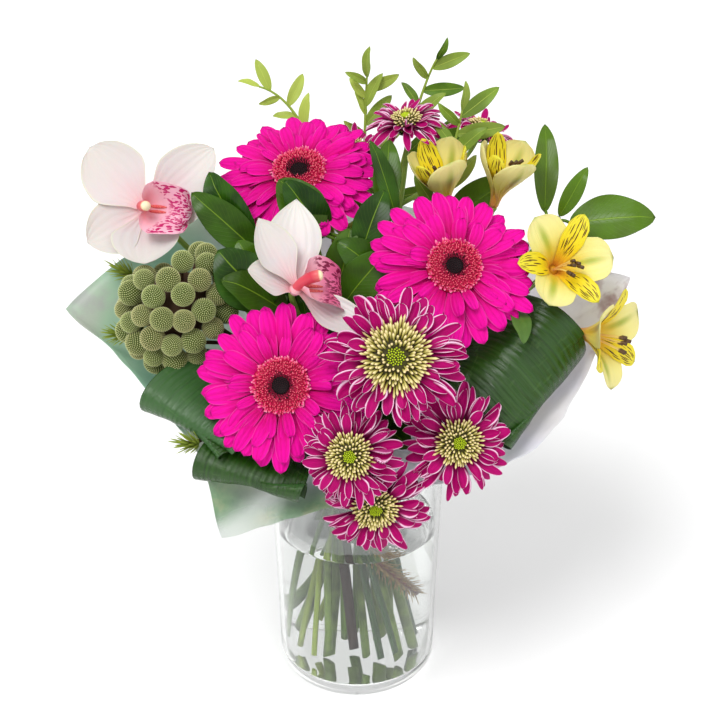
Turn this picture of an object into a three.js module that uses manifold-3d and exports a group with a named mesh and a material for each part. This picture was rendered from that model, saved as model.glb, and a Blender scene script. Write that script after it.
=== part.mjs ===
// A florist's bouquet of gerberas in a glass vase of water, with orchids, spray chrysanthemums,
// alstroemeria, a head of brunia berries, folded aspidistra leaves, leafy twigs and a wrapping sheet.
// Millimetres, +Z up, the origin at the middle of the vase's foot. The front of the bouquet is -Y.
import * as THREE from "three";
import { mergeVertices } from "three/addons/utils/BufferGeometryUtils.js";
import Module from "manifold-3d";

const wasm = await Module();
wasm.setup();

// ---------------------------------------------------------------- driving dimensions

const GAP = 0.3; // between pieces that touch
const SEAM = 0.04; // slivers thinner than this, where solids are joined, are taken up by their neighbours
const VASE = { height: 185, footRadius: 44, lowRadius: 55.5, rimRadius: 60.5, wall: 3, floor: 11, heel: 12 };
const WATER_LEVEL = 121;
const TIE = { height: 190, inner: 25.4, sheet: 0.8, band: { height: 6, thickness: 1.6 } };
const SPIRAL = { turn: 72, spread: 1.95 }; // the stems splay in a spiral below the tie, degrees and times
const GERBERA = { radius: 52, stem: 2.8 };
const SIDES = 36; // facets round the vase

const COLOURS = {
  glass: 0xdfe8e6,
  water: 0xdbe6e2,
  sheet: 0xc9ddd0,
  ribbon: 0xb9a3cf,
  pink: 0xf000a0,
  disc: 0xa81848,
  stem: 0x7f9a4e,
  orchid: 0xf6eceb,
  lip: 0xd63a78,
  purple: 0xa10f6b,
  florets: 0xd9cf7a,
  berries: 0x8f9f6a,
  brown: 0x5d4632,
  yellow: 0xf2e04a,
  leaf: 0x3c6a2a,
  freshLeaf: 0x86a83c,
  darkLeaf: 0x1f4a22,
};

// ---------------------------------------------------------------- helpers: vectors, curves and solids

const v3 = (x, y, z) => new THREE.Vector3(x, y, z);
const radians = THREE.MathUtils.degToRad;
const lerp = THREE.MathUtils.lerp;

// A closed three.js geometry as a solid that faces outwards.
function solid(geometry) {
  const bare = geometry.clone();
  bare.deleteAttribute("normal");
  bare.deleteAttribute("uv");
  const merged = mergeVertices(bare, 1e-4);
  const vertProperties = new Float32Array(merged.attributes.position.array);
  const triVerts = new Uint32Array(merged.index.array);
  const made = new wasm.Manifold(new wasm.Mesh({ numProp: 3, vertProperties, triVerts }));
  if (made.volume() > 0) return made;
  for (let i = 0; i < triVerts.length; i += 3) {
    [triVerts[i + 1], triVerts[i + 2]] = [triVerts[i + 2], triVerts[i + 1]];
  }
  return new wasm.Manifold(new wasm.Mesh({ numProp: 3, vertProperties, triVerts }));
}

// Solids joined into one.
const fuse = (solids) => solids.reduce((whole, next) => whole.add(next));

// A solid moved by a three.js matrix.
const moved = (made, matrix) => made.transform(matrix.toArray());

// A solid as a named three.js mesh.
function meshOf(name, made, colour, finish = {}) {
  const { numProp, numVert, vertProperties, triVerts } = made.asOriginal().simplify(SEAM).getMesh();
  const position = new Float32Array(numVert * 3);
  for (let i = 0; i < numVert; i++) {
    position.set(vertProperties.subarray(i * numProp, i * numProp + 3), i * 3);
  }
  const geometry = new THREE.BufferGeometry();
  geometry.setAttribute("position", new THREE.BufferAttribute(position, 3));
  geometry.setIndex(new THREE.BufferAttribute(new Uint32Array(triVerts), 1));
  geometry.computeVertexNormals();
  const material = new THREE.MeshStandardMaterial({ color: colour, roughness: 0.6, metalness: 0, ...finish });
  const mesh = new THREE.Mesh(geometry, material);
  mesh.name = name;
  return mesh;
}

// A closed skin over loops of points, which all have the same count, apart from single points as tips. From
// the place under on, four-sided faces are split the other way, so that a thin leaf's two sides match.
function skin(loops, under = Infinity) {
  const positions = loops.flat().flatMap((p) => [p.x, p.y, p.z]);
  const index = [];
  let start = 0;
  for (let i = 0; i + 1 < loops.length; i++) {
    const near = loops[i].length;
    const far = loops[i + 1].length;
    const next = start + near;
    for (let j = 0; j < Math.max(near, far); j++) {
      const k = j + 1;
      if (near > 1 && far > 1 && j >= under) {
        index.push(start + j, start + (k % near), next + (k % far), start + j, next + (k % far), next + j);
        continue;
      }
      if (near > 1) index.push(start + j, start + (k % near), next + (far > 1 ? j : 0));
      if (far > 1) index.push(start + (near > 1 ? k % near : 0), next + (k % far), next + j);
    }
    start = next;
  }
  const first = loops[0].length;
  const last = loops.at(-1).length;
  for (let j = 1; j + 1 < first; j++) index.push(0, j + 1, j);
  for (let j = 1; j + 1 < last; j++) index.push(start, start + j, start + j + 1);
  const geometry = new THREE.BufferGeometry();
  geometry.setAttribute("position", new THREE.Float32BufferAttribute(positions, 3));
  geometry.setIndex(index);
  return solid(geometry);
}

// A blade over stations along its rib. Each has its centre, its side and up directions, half its width and
// how far its edges rise over the rib. A station of no width is a pointed end.
function blade(stations, thickness) {
  return skin(
    stations.map(({ centre, side, up, half, cup = 0 }) => {
      if (half === 0) return [centre];
      const left = centre.clone().addScaledVector(side, half).addScaledVector(up, cup);
      const right = centre.clone().addScaledVector(side, -half).addScaledVector(up, cup);
      const keel = centre.clone().addScaledVector(up, -thickness);
      return cup ? [left, centre, right, keel] : [left, right, keel];
    }),
  );
}

// A round profile of [radius, height] pairs turned about Z, with the vertices moved by a relief function.
function turned(profile, segments, relief) {
  const geometry = new THREE.LatheGeometry(
    profile.map(([r, z]) => new THREE.Vector2(r, z)),
    segments,
  );
  geometry.rotateX(Math.PI / 2);
  if (relief) {
    const position = geometry.getAttribute("position");
    const rings = profile.length;
    for (let i = 0; i < position.count; i++) {
      const column = Math.floor(i / rings) % segments;
      const [r, z] = relief(profile[i % rings], i % rings, column);
      const angle = (column / segments) * 2 * Math.PI;
      position.setXYZ(i, r * Math.sin(angle), -r * Math.cos(angle), z);
    }
  }
  return solid(geometry);
}

// A tube of a few sides along a curve.
function tube(curve, radius, sides, steps) {
  const section = new THREE.Shape();
  for (let i = 0; i < sides; i++) {
    const angle = (i / sides) * 2 * Math.PI;
    const [x, y] = [radius * Math.cos(angle), radius * Math.sin(angle)];
    if (i === 0) section.moveTo(x, y);
    else section.lineTo(x, y);
  }
  return solid(new THREE.ExtrudeGeometry(section, { steps, extrudePath: curve }));
}

// The frame of a bloom: its centre, the way it faces (local Z) and its turn about that direction in degrees.
// With no turn, local X is level and local Y points up.
function frameOf({ at, facing, roll = 0 }) {
  const z = v3(...facing).normalize();
  const x = v3(0, 0, 1).cross(z).normalize();
  const y = z.clone().cross(x);
  const turn = radians(roll);
  const side = x.clone().multiplyScalar(Math.cos(turn)).addScaledVector(y, Math.sin(turn));
  return new THREE.Matrix4().makeBasis(side, z.clone().cross(side), z).setPosition(...at);
}

// A group that stands in a bloom's frame and holds its meshes.
function bloomGroup(bloom, meshes) {
  const group = new THREE.Group();
  group.applyMatrix4(frameOf(bloom));
  group.add(...meshes);
  return group;
}

// ---------------------------------------------------------------- the spiral bunch of stems

// A stem's place at the tie, from its bearing in degrees and its distance from the middle.
const placeAtTie = ([bearing, distance]) =>
  v3(distance * Math.cos(radians(bearing)), distance * Math.sin(radians(bearing)), TIE.height);

// Where a stem's cut end stands: the whole bunch turned and spread, so that no two stems meet.
function footOf(place, height) {
  const turn = radians(SPIRAL.turn);
  return placeAtTie(place).applyAxisAngle(v3(0, 0, 1), turn).multiplyScalar(SPIRAL.spread).setZ(height);
}

// The line of one stem: a straight leg from its cut end to the tie, then a curve up behind its head.
const LEG_SHARE = 1 / 8;
class StemLine extends THREE.Curve {
  constructor({ place, foot, head, facing, lead = 30, bend = 30 }) {
    super();
    const tie = placeAtTie(place);
    const cut = footOf(place, foot);
    const rise = tie.clone().sub(cut).normalize();
    const end = v3(...head);
    const behind = end.clone().addScaledVector(v3(...facing).normalize(), -lead);
    this.leg = new THREE.LineCurve3(cut, tie);
    this.upper = new THREE.CubicBezierCurve3(tie, tie.clone().addScaledVector(rise, bend), behind, end);
  }

  getPoint(t, target = v3(0, 0, 0)) {
    if (t < LEG_SHARE) return target.copy(this.leg.getPoint(t / LEG_SHARE));
    return target.copy(this.upper.getPoint((t - LEG_SHARE) / (1 - LEG_SHARE)));
  }

  // Steps are shared out by the parameter, so that the straight leg takes a single step.
  getUtoTmapping(share) {
    return share;
  }
}

// A stem as a tube, and its line. The legs are kept, because the water has a hole for each.
const legs = [];
function stem(spec) {
  const line = new StemLine(spec);
  legs.push({ line: line.leg, radius: spec.radius });
  return { line, made: tube(line, spec.radius, spec.radius < 2 ? 4 : 5, 8) };
}

// The middle of a stem's tube above the tie, as a share of the way up to its head.
const UPPER_STEPS = 7;
function onStem(line, share) {
  const step = Math.min(Math.floor(share * UPPER_STEPS), UPPER_STEPS - 1);
  const [low, high] = [step, step + 1].map((i) => line.upper.getPoint(i / UPPER_STEPS));
  return low.lerp(high, share * UPPER_STEPS - step);
}

// A side shoot from one point to another by way of a third.
const shoot = (from, by, to, radius) =>
  tube(new THREE.QuadraticBezierCurve3(from, v3(...by), to), radius, 4, 3);

// ---------------------------------------------------------------- leaves

// A leaf from its root to its tip. face is the way its upper side looks, arch lifts its middle, and fold
// raises its edges over the rib.
const OVAL = [
  [0, 0.12],
  [0.22, 0.72],
  [0.5, 1],
  [0.8, 0.68],
  [1, 0],
];
const SLIM = [
  [0, 0.3],
  [0.45, 1],
  [1, 0],
];
function leaf({ root, tip, face, half, arch = 0, fold = 1.2, thickness = 0.9, outline = OVAL }) {
  const base = v3(...root);
  const run = v3(...tip).sub(base);
  const along = run.clone().normalize();
  const up = v3(...face);
  up.addScaledVector(along, -up.dot(along)).normalize();
  const side = up.clone().cross(along);
  const stations = outline.map(([t, share]) => ({
    centre: base.clone().addScaledVector(run, t).addScaledVector(up, 4 * arch * t * (1 - t)),
    side,
    up,
    half: half * share,
    cup: fold * share,
  }));
  return blade(stations, thickness);
}

// The short stalks of the leaves that stand off their branch. from is where each leaves it, as a share.
function stalksOf(line, leaves) {
  return leaves
    .filter((one) => one.from !== undefined)
    .map((one) => {
      const start = onStem(line, one.from);
      const end = v3(...one.root).lerp(v3(...one.tip), 0.04);
      const by = start.clone().lerp(end, 0.5).add(v3(0, 0, 4));
      return shoot(start, by.toArray(), end, 1.1);
    });
}

// A broad leaf bent over on itself: it runs out along a path, turns down over the fold and comes back under.
// path holds [x, y, z, half the width], and fold is the direction of the line that the leaf is bent over.
const ACROSS = 4;
function foldedLeaf({ path, fold, thickness = 1, trough = 3 }) {
  const line = new THREE.CatmullRomCurve3(path.map(([x, y, z]) => v3(x, y, z)));
  const stops = path.length - 1;
  const loops = path.map(([, , , half], i) => {
    const centre = line.getPoint(i / stops);
    const along = line.getTangent(i / stops);
    const side = v3(...fold);
    side.addScaledVector(along, -side.dot(along)).normalize();
    const up = side.clone().cross(along);
    if (half === 0) return [centre];
    const rank = (level) =>
      Array.from({ length: ACROSS + 1 }, (_, j) => {
        const s = (2 * j) / ACROSS - 1;
        return centre
          .clone()
          .addScaledVector(side, s * half)
          .addScaledVector(up, trough * s * s * (half / 50) + level);
      });
    return [...rank(0), ...rank(-thickness).reverse()];
  });
  return skin(loops, ACROSS + 1);
}

// ---------------------------------------------------------------- the vase, the water and the wrapping

function buildVase() {
  const { height, footRadius, lowRadius, rimRadius, wall, floor } = VASE;
  const middle = lowRadius + 3;
  const profile = [
    [0, 0],
    [footRadius, 0],
    [lowRadius - 5.5, 2],
    [lowRadius - 1.6, 6.5],
    [lowRadius, 13],
    [middle, WATER_LEVEL],
    [rimRadius, height - 1.2],
    [rimRadius - 0.9, height],
    [rimRadius - wall + 0.9, height],
    [rimRadius - wall, height - 1.2],
    [middle - wall, WATER_LEVEL],
    [lowRadius - wall, floor + 6],
    [lowRadius - wall - 2, floor + 1.8],
    [lowRadius - wall - 6, floor],
    [0, floor],
  ];
  const finish = { roughness: 0.05, transparent: true, opacity: 0.35 };
  return meshOf("vase", turned(profile, SIDES), COLOURS.glass, finish);
}

// The water is cut by a hole for every leg that stands in it.
function buildWater() {
  const { lowRadius, wall, floor } = VASE;
  const middle = lowRadius + 3;
  const body = turned(
    [
      [0, floor + GAP],
      [lowRadius - wall - 6, floor + GAP],
      [lowRadius - wall - 2 - GAP, floor + 1.8 + GAP],
      [lowRadius - wall - GAP, floor + 6],
      [middle - wall - GAP, WATER_LEVEL],
      [0, WATER_LEVEL],
    ],
    SIDES,
  );
  const holes = legs.map(({ line, radius }) => {
    const down = line.v1.clone().sub(line.v2).normalize();
    const start = line.v1.clone().addScaledVector(down, GAP);
    return tube(new THREE.LineCurve3(start, line.v2), (radius + GAP) / Math.cos(Math.PI / 6), 6, 1);
  });
  return meshOf("water", body.subtract(fuse(holes)), COLOURS.water, { transparent: true, opacity: 0.3 });
}

// The outer edge of the wrapping sheet, from its right corner to the back and round: [x, y, z] and how far
// the sheet rises over the straight line from the tie to that point.
const SHEET_EDGE = [
  [181, 14, 304, -10],
  [158, 48, 294, -10],
  [125, 82, 294, -10],
  [82, 108, 300, -12],
  [32, 122, 306, -12],
  [-18, 122, 314, -14],
  [-60, 106, 324, -16],
  [-94, 80, 330, -16],
  [-128, 54, 322, -13],
  [-158, 32, 308, -11],
  [-193, 8, 284, -9],
  [-160, -16, 265, -9],
  [-130, -46, 245, -17],
  [-112, -66, 234, -13],
  [-98, -81, 220, -6],
  [-86, -105, 179, 5],
  [-54, -100, 186, 5],
  [-20, -95, 194, 4],
  [20, -88, 200, 2],
  [60, -84, 208, -1],
  [94, -84, 220, -6],
  [115, -76, 228, -9],
  [134, -56, 240, -11],
  [152, -26, 256, -12],
  [168, 0, 280, -11],
];
// The rows of the sheet from its lower edge to the tie: [radius, height, depth of its waves].
const SKIRT = [
  [49, 124.5, 2.2],
  [34, 170, 1],
  [TIE.inner, TIE.height - TIE.band.height / 2 - 1, 0],
];
const PER_EDGE = 2;
const FLARE_ROWS = 3;

function buildSheet() {
  const columns = SHEET_EDGE.length * PER_EDGE;
  const rows = SKIRT.length + 1 + FLARE_ROWS;
  const surface = [];
  for (let row = 0; row < rows; row++) {
    const ring = [];
    for (let column = 0; column < columns; column++) {
      const from = SHEET_EDGE[Math.floor(column / PER_EDGE)];
      const to = SHEET_EDGE[(Math.floor(column / PER_EDGE) + 1) % SHEET_EDGE.length];
      const [x, y, z, rise] = from.map((value, i) => lerp(value, to[i], (column % PER_EDGE) / PER_EDGE));
      const bearing = Math.atan2(y, x);
      const wave = column % 2 ? 1 : -1;
      if (row < SKIRT.length) {
        const [radius, height, depth] = SKIRT[row];
        const r = radius + wave * depth;
        ring.push(v3(r * Math.cos(bearing), r * Math.sin(bearing), height));
        continue;
      }
      const share = (row - SKIRT.length) / FLARE_ROWS;
      const neck = TIE.height + TIE.band.height / 2 + 1;
      const waist = v3(TIE.inner * Math.cos(bearing), TIE.inner * Math.sin(bearing), neck);
      const point = waist.lerp(v3(x, y, z), share ** 1.1);
      point.z += 4 * rise * share * (1 - share) + wave * 1.2 * Math.sin(Math.PI * share);
      ring.push(point);
    }
    surface.push(ring);
  }
  return meshOf("wrap_sheet", thickened(surface, TIE.sheet), COLOURS.sheet, { roughness: 0.45 });
}

// A ring-shaped surface, given as rows of points round it, made a closed solid of an even thickness.
function thickened(surface, thickness) {
  const rows = surface.length;
  const columns = surface[0].length;
  const normalAt = (row, column) => {
    const [left, right] = [(column + columns - 1) % columns, (column + 1) % columns];
    const [low, high] = [Math.max(row - 1, 0), Math.min(row + 1, rows - 1)];
    const round = surface[row][right].clone().sub(surface[row][left]);
    const up = surface[high][column].clone().sub(surface[low][column]);
    return round.cross(up).normalize();
  };
  const inner = surface.map((ring, row) =>
    ring.map((point, column) => point.clone().addScaledVector(normalAt(row, column), -thickness)),
  );
  const positions = [...surface, ...inner].flat().flatMap((p) => [p.x, p.y, p.z]);
  const index = [];
  const quad = (a, b, c, d) => index.push(a, b, c, a, c, d);
  const far = rows * columns;
  for (let column = 0; column < columns; column++) {
    const next = (column + 1) % columns;
    for (let row = 0; row + 1 < rows; row++) {
      const [low, high] = [row * columns, (row + 1) * columns];
      quad(low + column, low + next, high + next, high + column);
      index.push(far + low + column, far + high + next, far + low + next);
      index.push(far + low + column, far + high + column, far + high + next);
    }
    const top = (rows - 1) * columns;
    quad(far + column, far + next, next, column);
    quad(top + column, top + next, far + top + next, far + top + column);
  }
  const geometry = new THREE.BufferGeometry();
  geometry.setAttribute("position", new THREE.Float32BufferAttribute(positions, 3));
  geometry.setIndex(index);
  return solid(geometry);
}

// The band that holds the bunch and its sheet together.
function buildTie() {
  const sides = 20;
  const inner = (TIE.inner + GAP) / Math.cos(Math.PI / sides);
  const outer = inner + TIE.band.thickness;
  const [low, high] = [TIE.height - TIE.band.height / 2, TIE.height + TIE.band.height / 2];
  const profile = [
    [inner, low],
    [outer, low],
    [outer, high],
    [inner, high],
    [inner, low],
  ];
  return meshOf("tie", turned(profile, sides), COLOURS.ribbon);
}

// ---------------------------------------------------------------- blooms with rays round a disc

// One ring of rays in a bloom's own frame. Each ray runs out from the hub, passes under the disc and rises.
// A strap-shaped ray keeps its width before its tip, and the others are widest half-way.
function rayRing({ count, from, reach, z, rise, droop, strap, turn = 0, thickness = 0.8 }) {
  return Array.from({ length: count }, (_, i) => {
    const bearing = ((i + turn) / count) * 2 * Math.PI;
    const out = v3(Math.cos(bearing), Math.sin(bearing), 0);
    const side = v3(-Math.sin(bearing), Math.cos(bearing), 0);
    const up = v3(0, 0, 1);
    const length = reach * (1 + 0.03 * Math.sin(7 * i + count));
    const station = (share, height, width) => {
      const r = lerp(from, length, share);
      const half = ((0.94 * Math.PI * r) / count) * width;
      return { centre: out.clone().multiplyScalar(r).setZ(height), side, up, half };
    };
    const stations = [station(0, z, 0.9)];
    if (strap) stations.push(station(0.45, z + rise, 1), station(0.84, z + rise - droop * 0.5, 0.72));
    else stations.push(station(0.62, z + rise, 1));
    return blade([...stations, station(1, z + rise - droop, 0)], thickness);
  });
}

// The florets of a disc: a low dome with a knob on each facet, alternately high and low.
function floretDisc({ radius, height, sides, rings, knob, hollow = 0 }) {
  const profile = [[0, GAP]];
  profile.push([radius * 0.96, GAP]);
  for (let i = 0; i < rings; i++) {
    const share = i / rings;
    profile.push([radius * (1 - share), GAP + 1.2 + height * Math.sqrt(1 - (1 - share) ** 2 * 0.98)]);
  }
  profile.push([0, GAP + 1.2 + height - hollow]);
  return turned(profile, sides, ([r, z], ring, column) => {
    const raised = ring > 1 && ring < profile.length - 1 && (ring + column) % 2;
    return raised ? [r + knob * 0.3, z + knob] : [r, z];
  });
}

// The gerberas: where each stands, and the way it faces.
const GERBERAS = [
  { name: "gerbera_front", at: [-47, -80, 277], facing: [-0.05, -0.86, 0.5], place: [-105, 14.5], foot: 16 },
  { name: "gerbera_right", at: [62, -25, 332], facing: [0.1, -0.68, 0.73], place: [-25, 7.6], foot: 24 },
  { name: "gerbera_left", at: [-38, 51, 364], facing: [-0.1, -0.43, 0.9], place: [125, 7.6], foot: 14 },
];

function buildGerbera(bloom) {
  const reach = GERBERA.radius;
  const hub = turned(
    [
      [0, -5.6],
      [11, -5.6],
      [16.5, -4.3],
      [16.5, 0],
      [0, 0],
    ],
    12,
  );
  const petals = fuse([
    hub,
    ...rayRing({ count: 14, from: 13, reach, z: -3.2, rise: 0.6, droop: 2.4, strap: true }),
    ...rayRing({
      count: 13,
      from: 13,
      reach: reach - 4,
      z: -1.7,
      rise: 1.7,
      droop: 0.4,
      strap: true,
      turn: 0.5,
    }),
    ...rayRing({ count: 8, from: 13, reach: reach - 19, z: -0.5, rise: 1.3, droop: -2 }),
  ]);
  const florets = floretDisc({ radius: 18.5, height: 2.4, sides: 20, rings: 3, knob: 0.9, hollow: 1.2 });
  return bloomGroup(bloom, [
    meshOf(bloom.name + "_petals", petals, COLOURS.pink),
    meshOf(bloom.name + "_disc", florets, COLOURS.disc),
  ]);
}

// The green cup under a bloom, on its stem.
const cup = (radius, top, depth, sides) =>
  turned(
    [
      [0, top - depth],
      [radius * 0.25, top - depth],
      [radius * 0.85, top - depth * 0.45],
      [radius, top],
      [0, top],
    ],
    sides,
  );

function buildGerberaStem(bloom) {
  const frame = frameOf(bloom);
  const root = v3(0, 0, -12).applyMatrix4(frame);
  const { made } = stem({ ...bloom, head: root.toArray(), radius: GERBERA.stem });
  const green = moved(cup(12, -6, 9, 10), frame);
  return meshOf(bloom.name + "_stem", made.add(green), COLOURS.stem);
}

// The spray chrysanthemums: the front spray and the back one.
const FRONT_SPRAY = [
  {
    name: "chrysanthemum_upper",
    at: [24, -90, 303],
    facing: [0, -0.82, 0.57],
    radius: 43,
    disc: 25,
    rays: 11,
  },
  {
    name: "chrysanthemum_left",
    at: [-4, -110, 244],
    facing: [-0.08, -0.9, 0.4],
    radius: 33,
    disc: 17,
    rays: 10,
  },
  {
    name: "chrysanthemum_right",
    at: [64, -93, 243],
    facing: [0.15, -0.9, 0.42],
    radius: 36,
    disc: 17,
    rays: 10,
  },
  {
    name: "chrysanthemum_lower",
    at: [12, -108, 204],
    facing: [0.02, -0.99, 0.02],
    radius: 34,
    disc: 17,
    rays: 10,
  },
];
const BACK_SPRAY = [
  {
    name: "chrysanthemum_back_a",
    at: [33, 82, 388],
    facing: [-0.1, -0.15, 0.99],
    radius: 26,
    disc: 12,
    rays: 8,
  },
  {
    name: "chrysanthemum_back_b",
    at: [86, 106, 372],
    facing: [0.35, 0.05, 0.93],
    radius: 25,
    disc: 12,
    rays: 8,
  },
  { name: "chrysanthemum_back_c", at: [-2, 91, 362], facing: [0, -0.3, 0.95], radius: 25, disc: 12, rays: 8 },
];

function buildChrysanthemum({ name, at, facing, radius, disc, rays: count }) {
  const hub = turned(
    [
      [0, -4.4],
      [disc * 0.55, -4.4],
      [disc * 0.85, -3.5],
      [disc * 0.85, 0],
      [0, 0],
    ],
    10,
  );
  const rays = fuse([
    hub,
    ...rayRing({ count, from: disc * 0.7, reach: radius, z: -2.4, rise: 0.9, droop: 1 }),
    ...rayRing({
      count: count - 1,
      from: disc * 0.7,
      reach: radius * 0.92,
      z: -0.7,
      rise: 1.7,
      droop: -1.2,
      turn: 0.5,
    }),
  ]);
  const florets = floretDisc({
    radius: disc,
    height: disc * 0.32,
    sides: 16,
    rings: 3,
    knob: 1.2,
    hollow: 2,
  });
  return bloomGroup({ at, facing }, [
    meshOf(name + "_rays", rays, COLOURS.purple),
    meshOf(name + "_florets", florets, COLOURS.florets),
  ]);
}

// A branched stem that carries the heads of one spray, each on a small green cup, with leaves on the way.
function buildSpray(name, heads, { forks, leaves, ...spec }) {
  const [first, ...others] = heads;
  const rootOf = (head, depth) => v3(0, 0, -depth).applyMatrix4(frameOf(head));
  const { line, made } = stem({ ...spec, head: rootOf(first, 9).toArray(), facing: first.facing });
  const cups = heads.map((head) => moved(cup(head.disc * 0.6, -4.8, 6, 8), frameOf(head)));
  const shoots = others.map((head, i) =>
    shoot(onStem(line, forks[i]), rootOf(head, 34).toArray(), rootOf(head, 9), spec.radius * 0.7),
  );
  return meshOf(name, fuse([made, ...cups, ...shoots, ...leaves.map(leaf)]), COLOURS.stem);
}

// ---------------------------------------------------------------- orchids

// A tepal in its bloom's frame, out from the middle at a bearing: cupped forward, then bent back at the tip.
function tepal({ bearing, length, half, z = 0, lift = 5, back = 4, thickness = 0.9 }) {
  const angle = radians(bearing);
  const out = v3(Math.cos(angle), Math.sin(angle), 0);
  const side = v3(-Math.sin(angle), Math.cos(angle), 0);
  const stops = [
    [0.02, 0.3, 0],
    [0.25, 0.78, 0.6],
    [0.52, 1, 1],
    [0.8, 0.72, 0.7],
    [1, 0, 0],
  ];
  const stations = stops.map(([t, share, rise]) => ({
    centre: out.clone().multiplyScalar(length * t).setZ(z + lift * rise - back * t * t),
    side,
    up: v3(0, 0, 1),
    half: half * share,
    cup: 1.6 * share,
  }));
  return blade(stations, thickness);
}

const ORCHIDS = [
  {
    name: "orchid_left",
    at: [-139, 38, 343],
    facing: [-0.1, -0.85, 0.52],
    roll: 76,
    place: [163, 14.6],
    foot: 28,
  },
  {
    name: "orchid_middle",
    at: [-38, -46, 327],
    facing: [0.58, -0.38, 0.72],
    roll: 4,
    place: [218, 7.6],
    foot: 20,
  },
];

function buildOrchid(bloom) {
  const heart = turned(
    [
      [0, -3.5],
      [3.4, -3],
      [4.4, 0.5],
      [3, 2.2],
      [0, 2.4],
    ],
    10,
  );
  const tepals = fuse([
    heart,
    tepal({ bearing: 90, length: 45, half: 12, z: -1 }),
    tepal({ bearing: 212, length: 43, half: 11.5, z: -1.4 }),
    tepal({ bearing: 328, length: 43, half: 11.5, z: -1.4 }),
    tepal({ bearing: 24, length: 44, half: 12, z: 0.4, lift: 6 }),
    tepal({ bearing: 156, length: 44, half: 12, z: 0.4, lift: 6 }),
  ]);
  // The lip: a trough under the column, with a ruffled end that turns down.
  const lip = foldedLeaf({
    path: [
      [0, -3, 3.4, 3.5],
      [0, -10, 8.5, 9],
      [0, -19, 12.5, 12.5],
      [0, -27, 11.5, 13],
      [0, -33, 7, 8],
    ],
    fold: [1, 0, 0],
    trough: 24,
  });
  const column = tube(
    new THREE.QuadraticBezierCurve3(v3(0, 0.5, 2.9), v3(0, 1.5, 16), v3(0, -5, 22)),
    3.2,
    7,
    4,
  );
  return bloomGroup(bloom, [
    meshOf(bloom.name + "_tepals", tepals, COLOURS.orchid),
    meshOf(bloom.name + "_lip", fuse([lip, column]), COLOURS.lip),
  ]);
}

function buildOrchidStem(bloom) {
  const root = v3(0, 0, -4.2).applyMatrix4(frameOf(bloom));
  const { made } = stem({ ...bloom, head: root.toArray(), radius: 2, lead: 9 });
  return meshOf(bloom.name + "_stem", made, COLOURS.stem);
}

// ---------------------------------------------------------------- brunia

const BRUNIA = {
  at: [-120, -14, 303],
  facing: [-0.5, -0.6, 0.62],
  berries: 29,
  berry: 8.4,
  core: 33,
  spread: 90,
};

function buildBruniaHead() {
  const { berries, berry, core, spread } = BRUNIA;
  const golden = Math.PI * (3 - Math.sqrt(5));
  const top = Math.cos(radians(spread));
  const heart = turned(
    [
      [0, -14],
      [core * 0.6, -12],
      [core * 0.96, -3],
      [core * 0.9, core * 0.42],
      [core * 0.55, core * 0.84],
      [0, core],
    ],
    10,
  ).scale([1, 1.14, 1]);
  const balls = Array.from({ length: berries }, (_, i) => {
    const z = 1 - ((i + 0.5) / berries) * (1 - top);
    const flat = Math.sqrt(1 - z * z);
    const far = core + 0.8 + Math.sin(i * 2.4);
    const ball = new THREE.SphereGeometry(berry * (0.96 + 0.06 * Math.sin(i * 5.1)), 6, 3);
    ball.rotateZ(i);
    ball.translate(far * flat * Math.cos(i * golden), 1.14 * far * flat * Math.sin(i * golden), far * z);
    return solid(ball);
  });
  return bloomGroup(BRUNIA, [meshOf("brunia_berries", fuse([heart, ...balls]), COLOURS.berries)]);
}

// Short needles that stand out all round a point of the brunia's stem.
function needles({ at, facing, count = 5, length = 24 }) {
  const frame = frameOf({ at, facing });
  return Array.from({ length: count }, (_, i) => {
    const bearing = (i / count) * 2 * Math.PI;
    const tip = v3(Math.cos(bearing) * length * 0.55, Math.sin(bearing) * length * 0.55, length);
    const root = v3(Math.cos(bearing) * 0.6, Math.sin(bearing) * 0.6, -1);
    return leaf({
      root: root.applyMatrix4(frame).toArray(),
      tip: tip.applyMatrix4(frame).toArray(),
      face: facing,
      half: 1.3,
      fold: 0.2,
      outline: SLIM,
    });
  });
}

function buildBruniaStem() {
  const root = v3(0, 0, -14 - GAP).applyMatrix4(frameOf(BRUNIA));
  const { line, made } = stem({ ...BRUNIA, place: [195, 14.6], foot: 34, head: root.toArray(), radius: 2.4 });
  const tufts = [
    { at: [-156, 20, 306], facing: [-0.9, 0.05, 0.4], from: 0.8, by: [-122, 16, 282] },
    { at: [-157, -14, 277], facing: [-0.9, -0.3, 0.3], from: 0.66, by: [-128, -2, 264] },
  ];
  const solids = tufts.flatMap(({ from, by, ...tuft }) => [
    shoot(onStem(line, from), by, v3(...tuft.at), 1.4),
    ...needles(tuft),
  ]);
  return meshOf("brunia_stem", fuse([made, ...solids]), COLOURS.brown);
}

// ---------------------------------------------------------------- alstroemeria

const ALSTROEMERIAS = [
  { name: "alstroemeria_right", at: [134, -8, 327], facing: [0.25, -0.72, 0.65], roll: 0 },
  { name: "alstroemeria_low", at: [166, -28, 281], facing: [0.8, -0.5, 0.1], roll: 40 },
  { name: "alstroemeria_back", at: [98, 49, 366], facing: [0.3, -0.3, 0.9], roll: 0 },
  { name: "alstroemeria_middle", at: [55, 45, 366], facing: [-0.25, -0.5, 0.83], roll: 30 },
];
const TRUMPET = [
  [4.5, -17, 0.42],
  [18, -4, 1],
  [34, 3, 0],
];

function buildAlstroemeria(bloom) {
  const broad = [90, 210, 330].map((bearing) => trumpetTepal(bearing, 9.5, 1, 0));
  const narrow = [30, 150, 270].map((bearing) => trumpetTepal(bearing, 5.8, 0.98, 1.2));
  const throat = turned(
    [
      [0, -30],
      [2.4, -30],
      [3, -24],
      [8.5, -13.5],
      [0, -12],
    ],
    6,
  );
  const petals = fuse([throat, ...broad, ...narrow]);
  return bloomGroup(bloom, [meshOf(bloom.name, petals, COLOURS.yellow)]);
}

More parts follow.
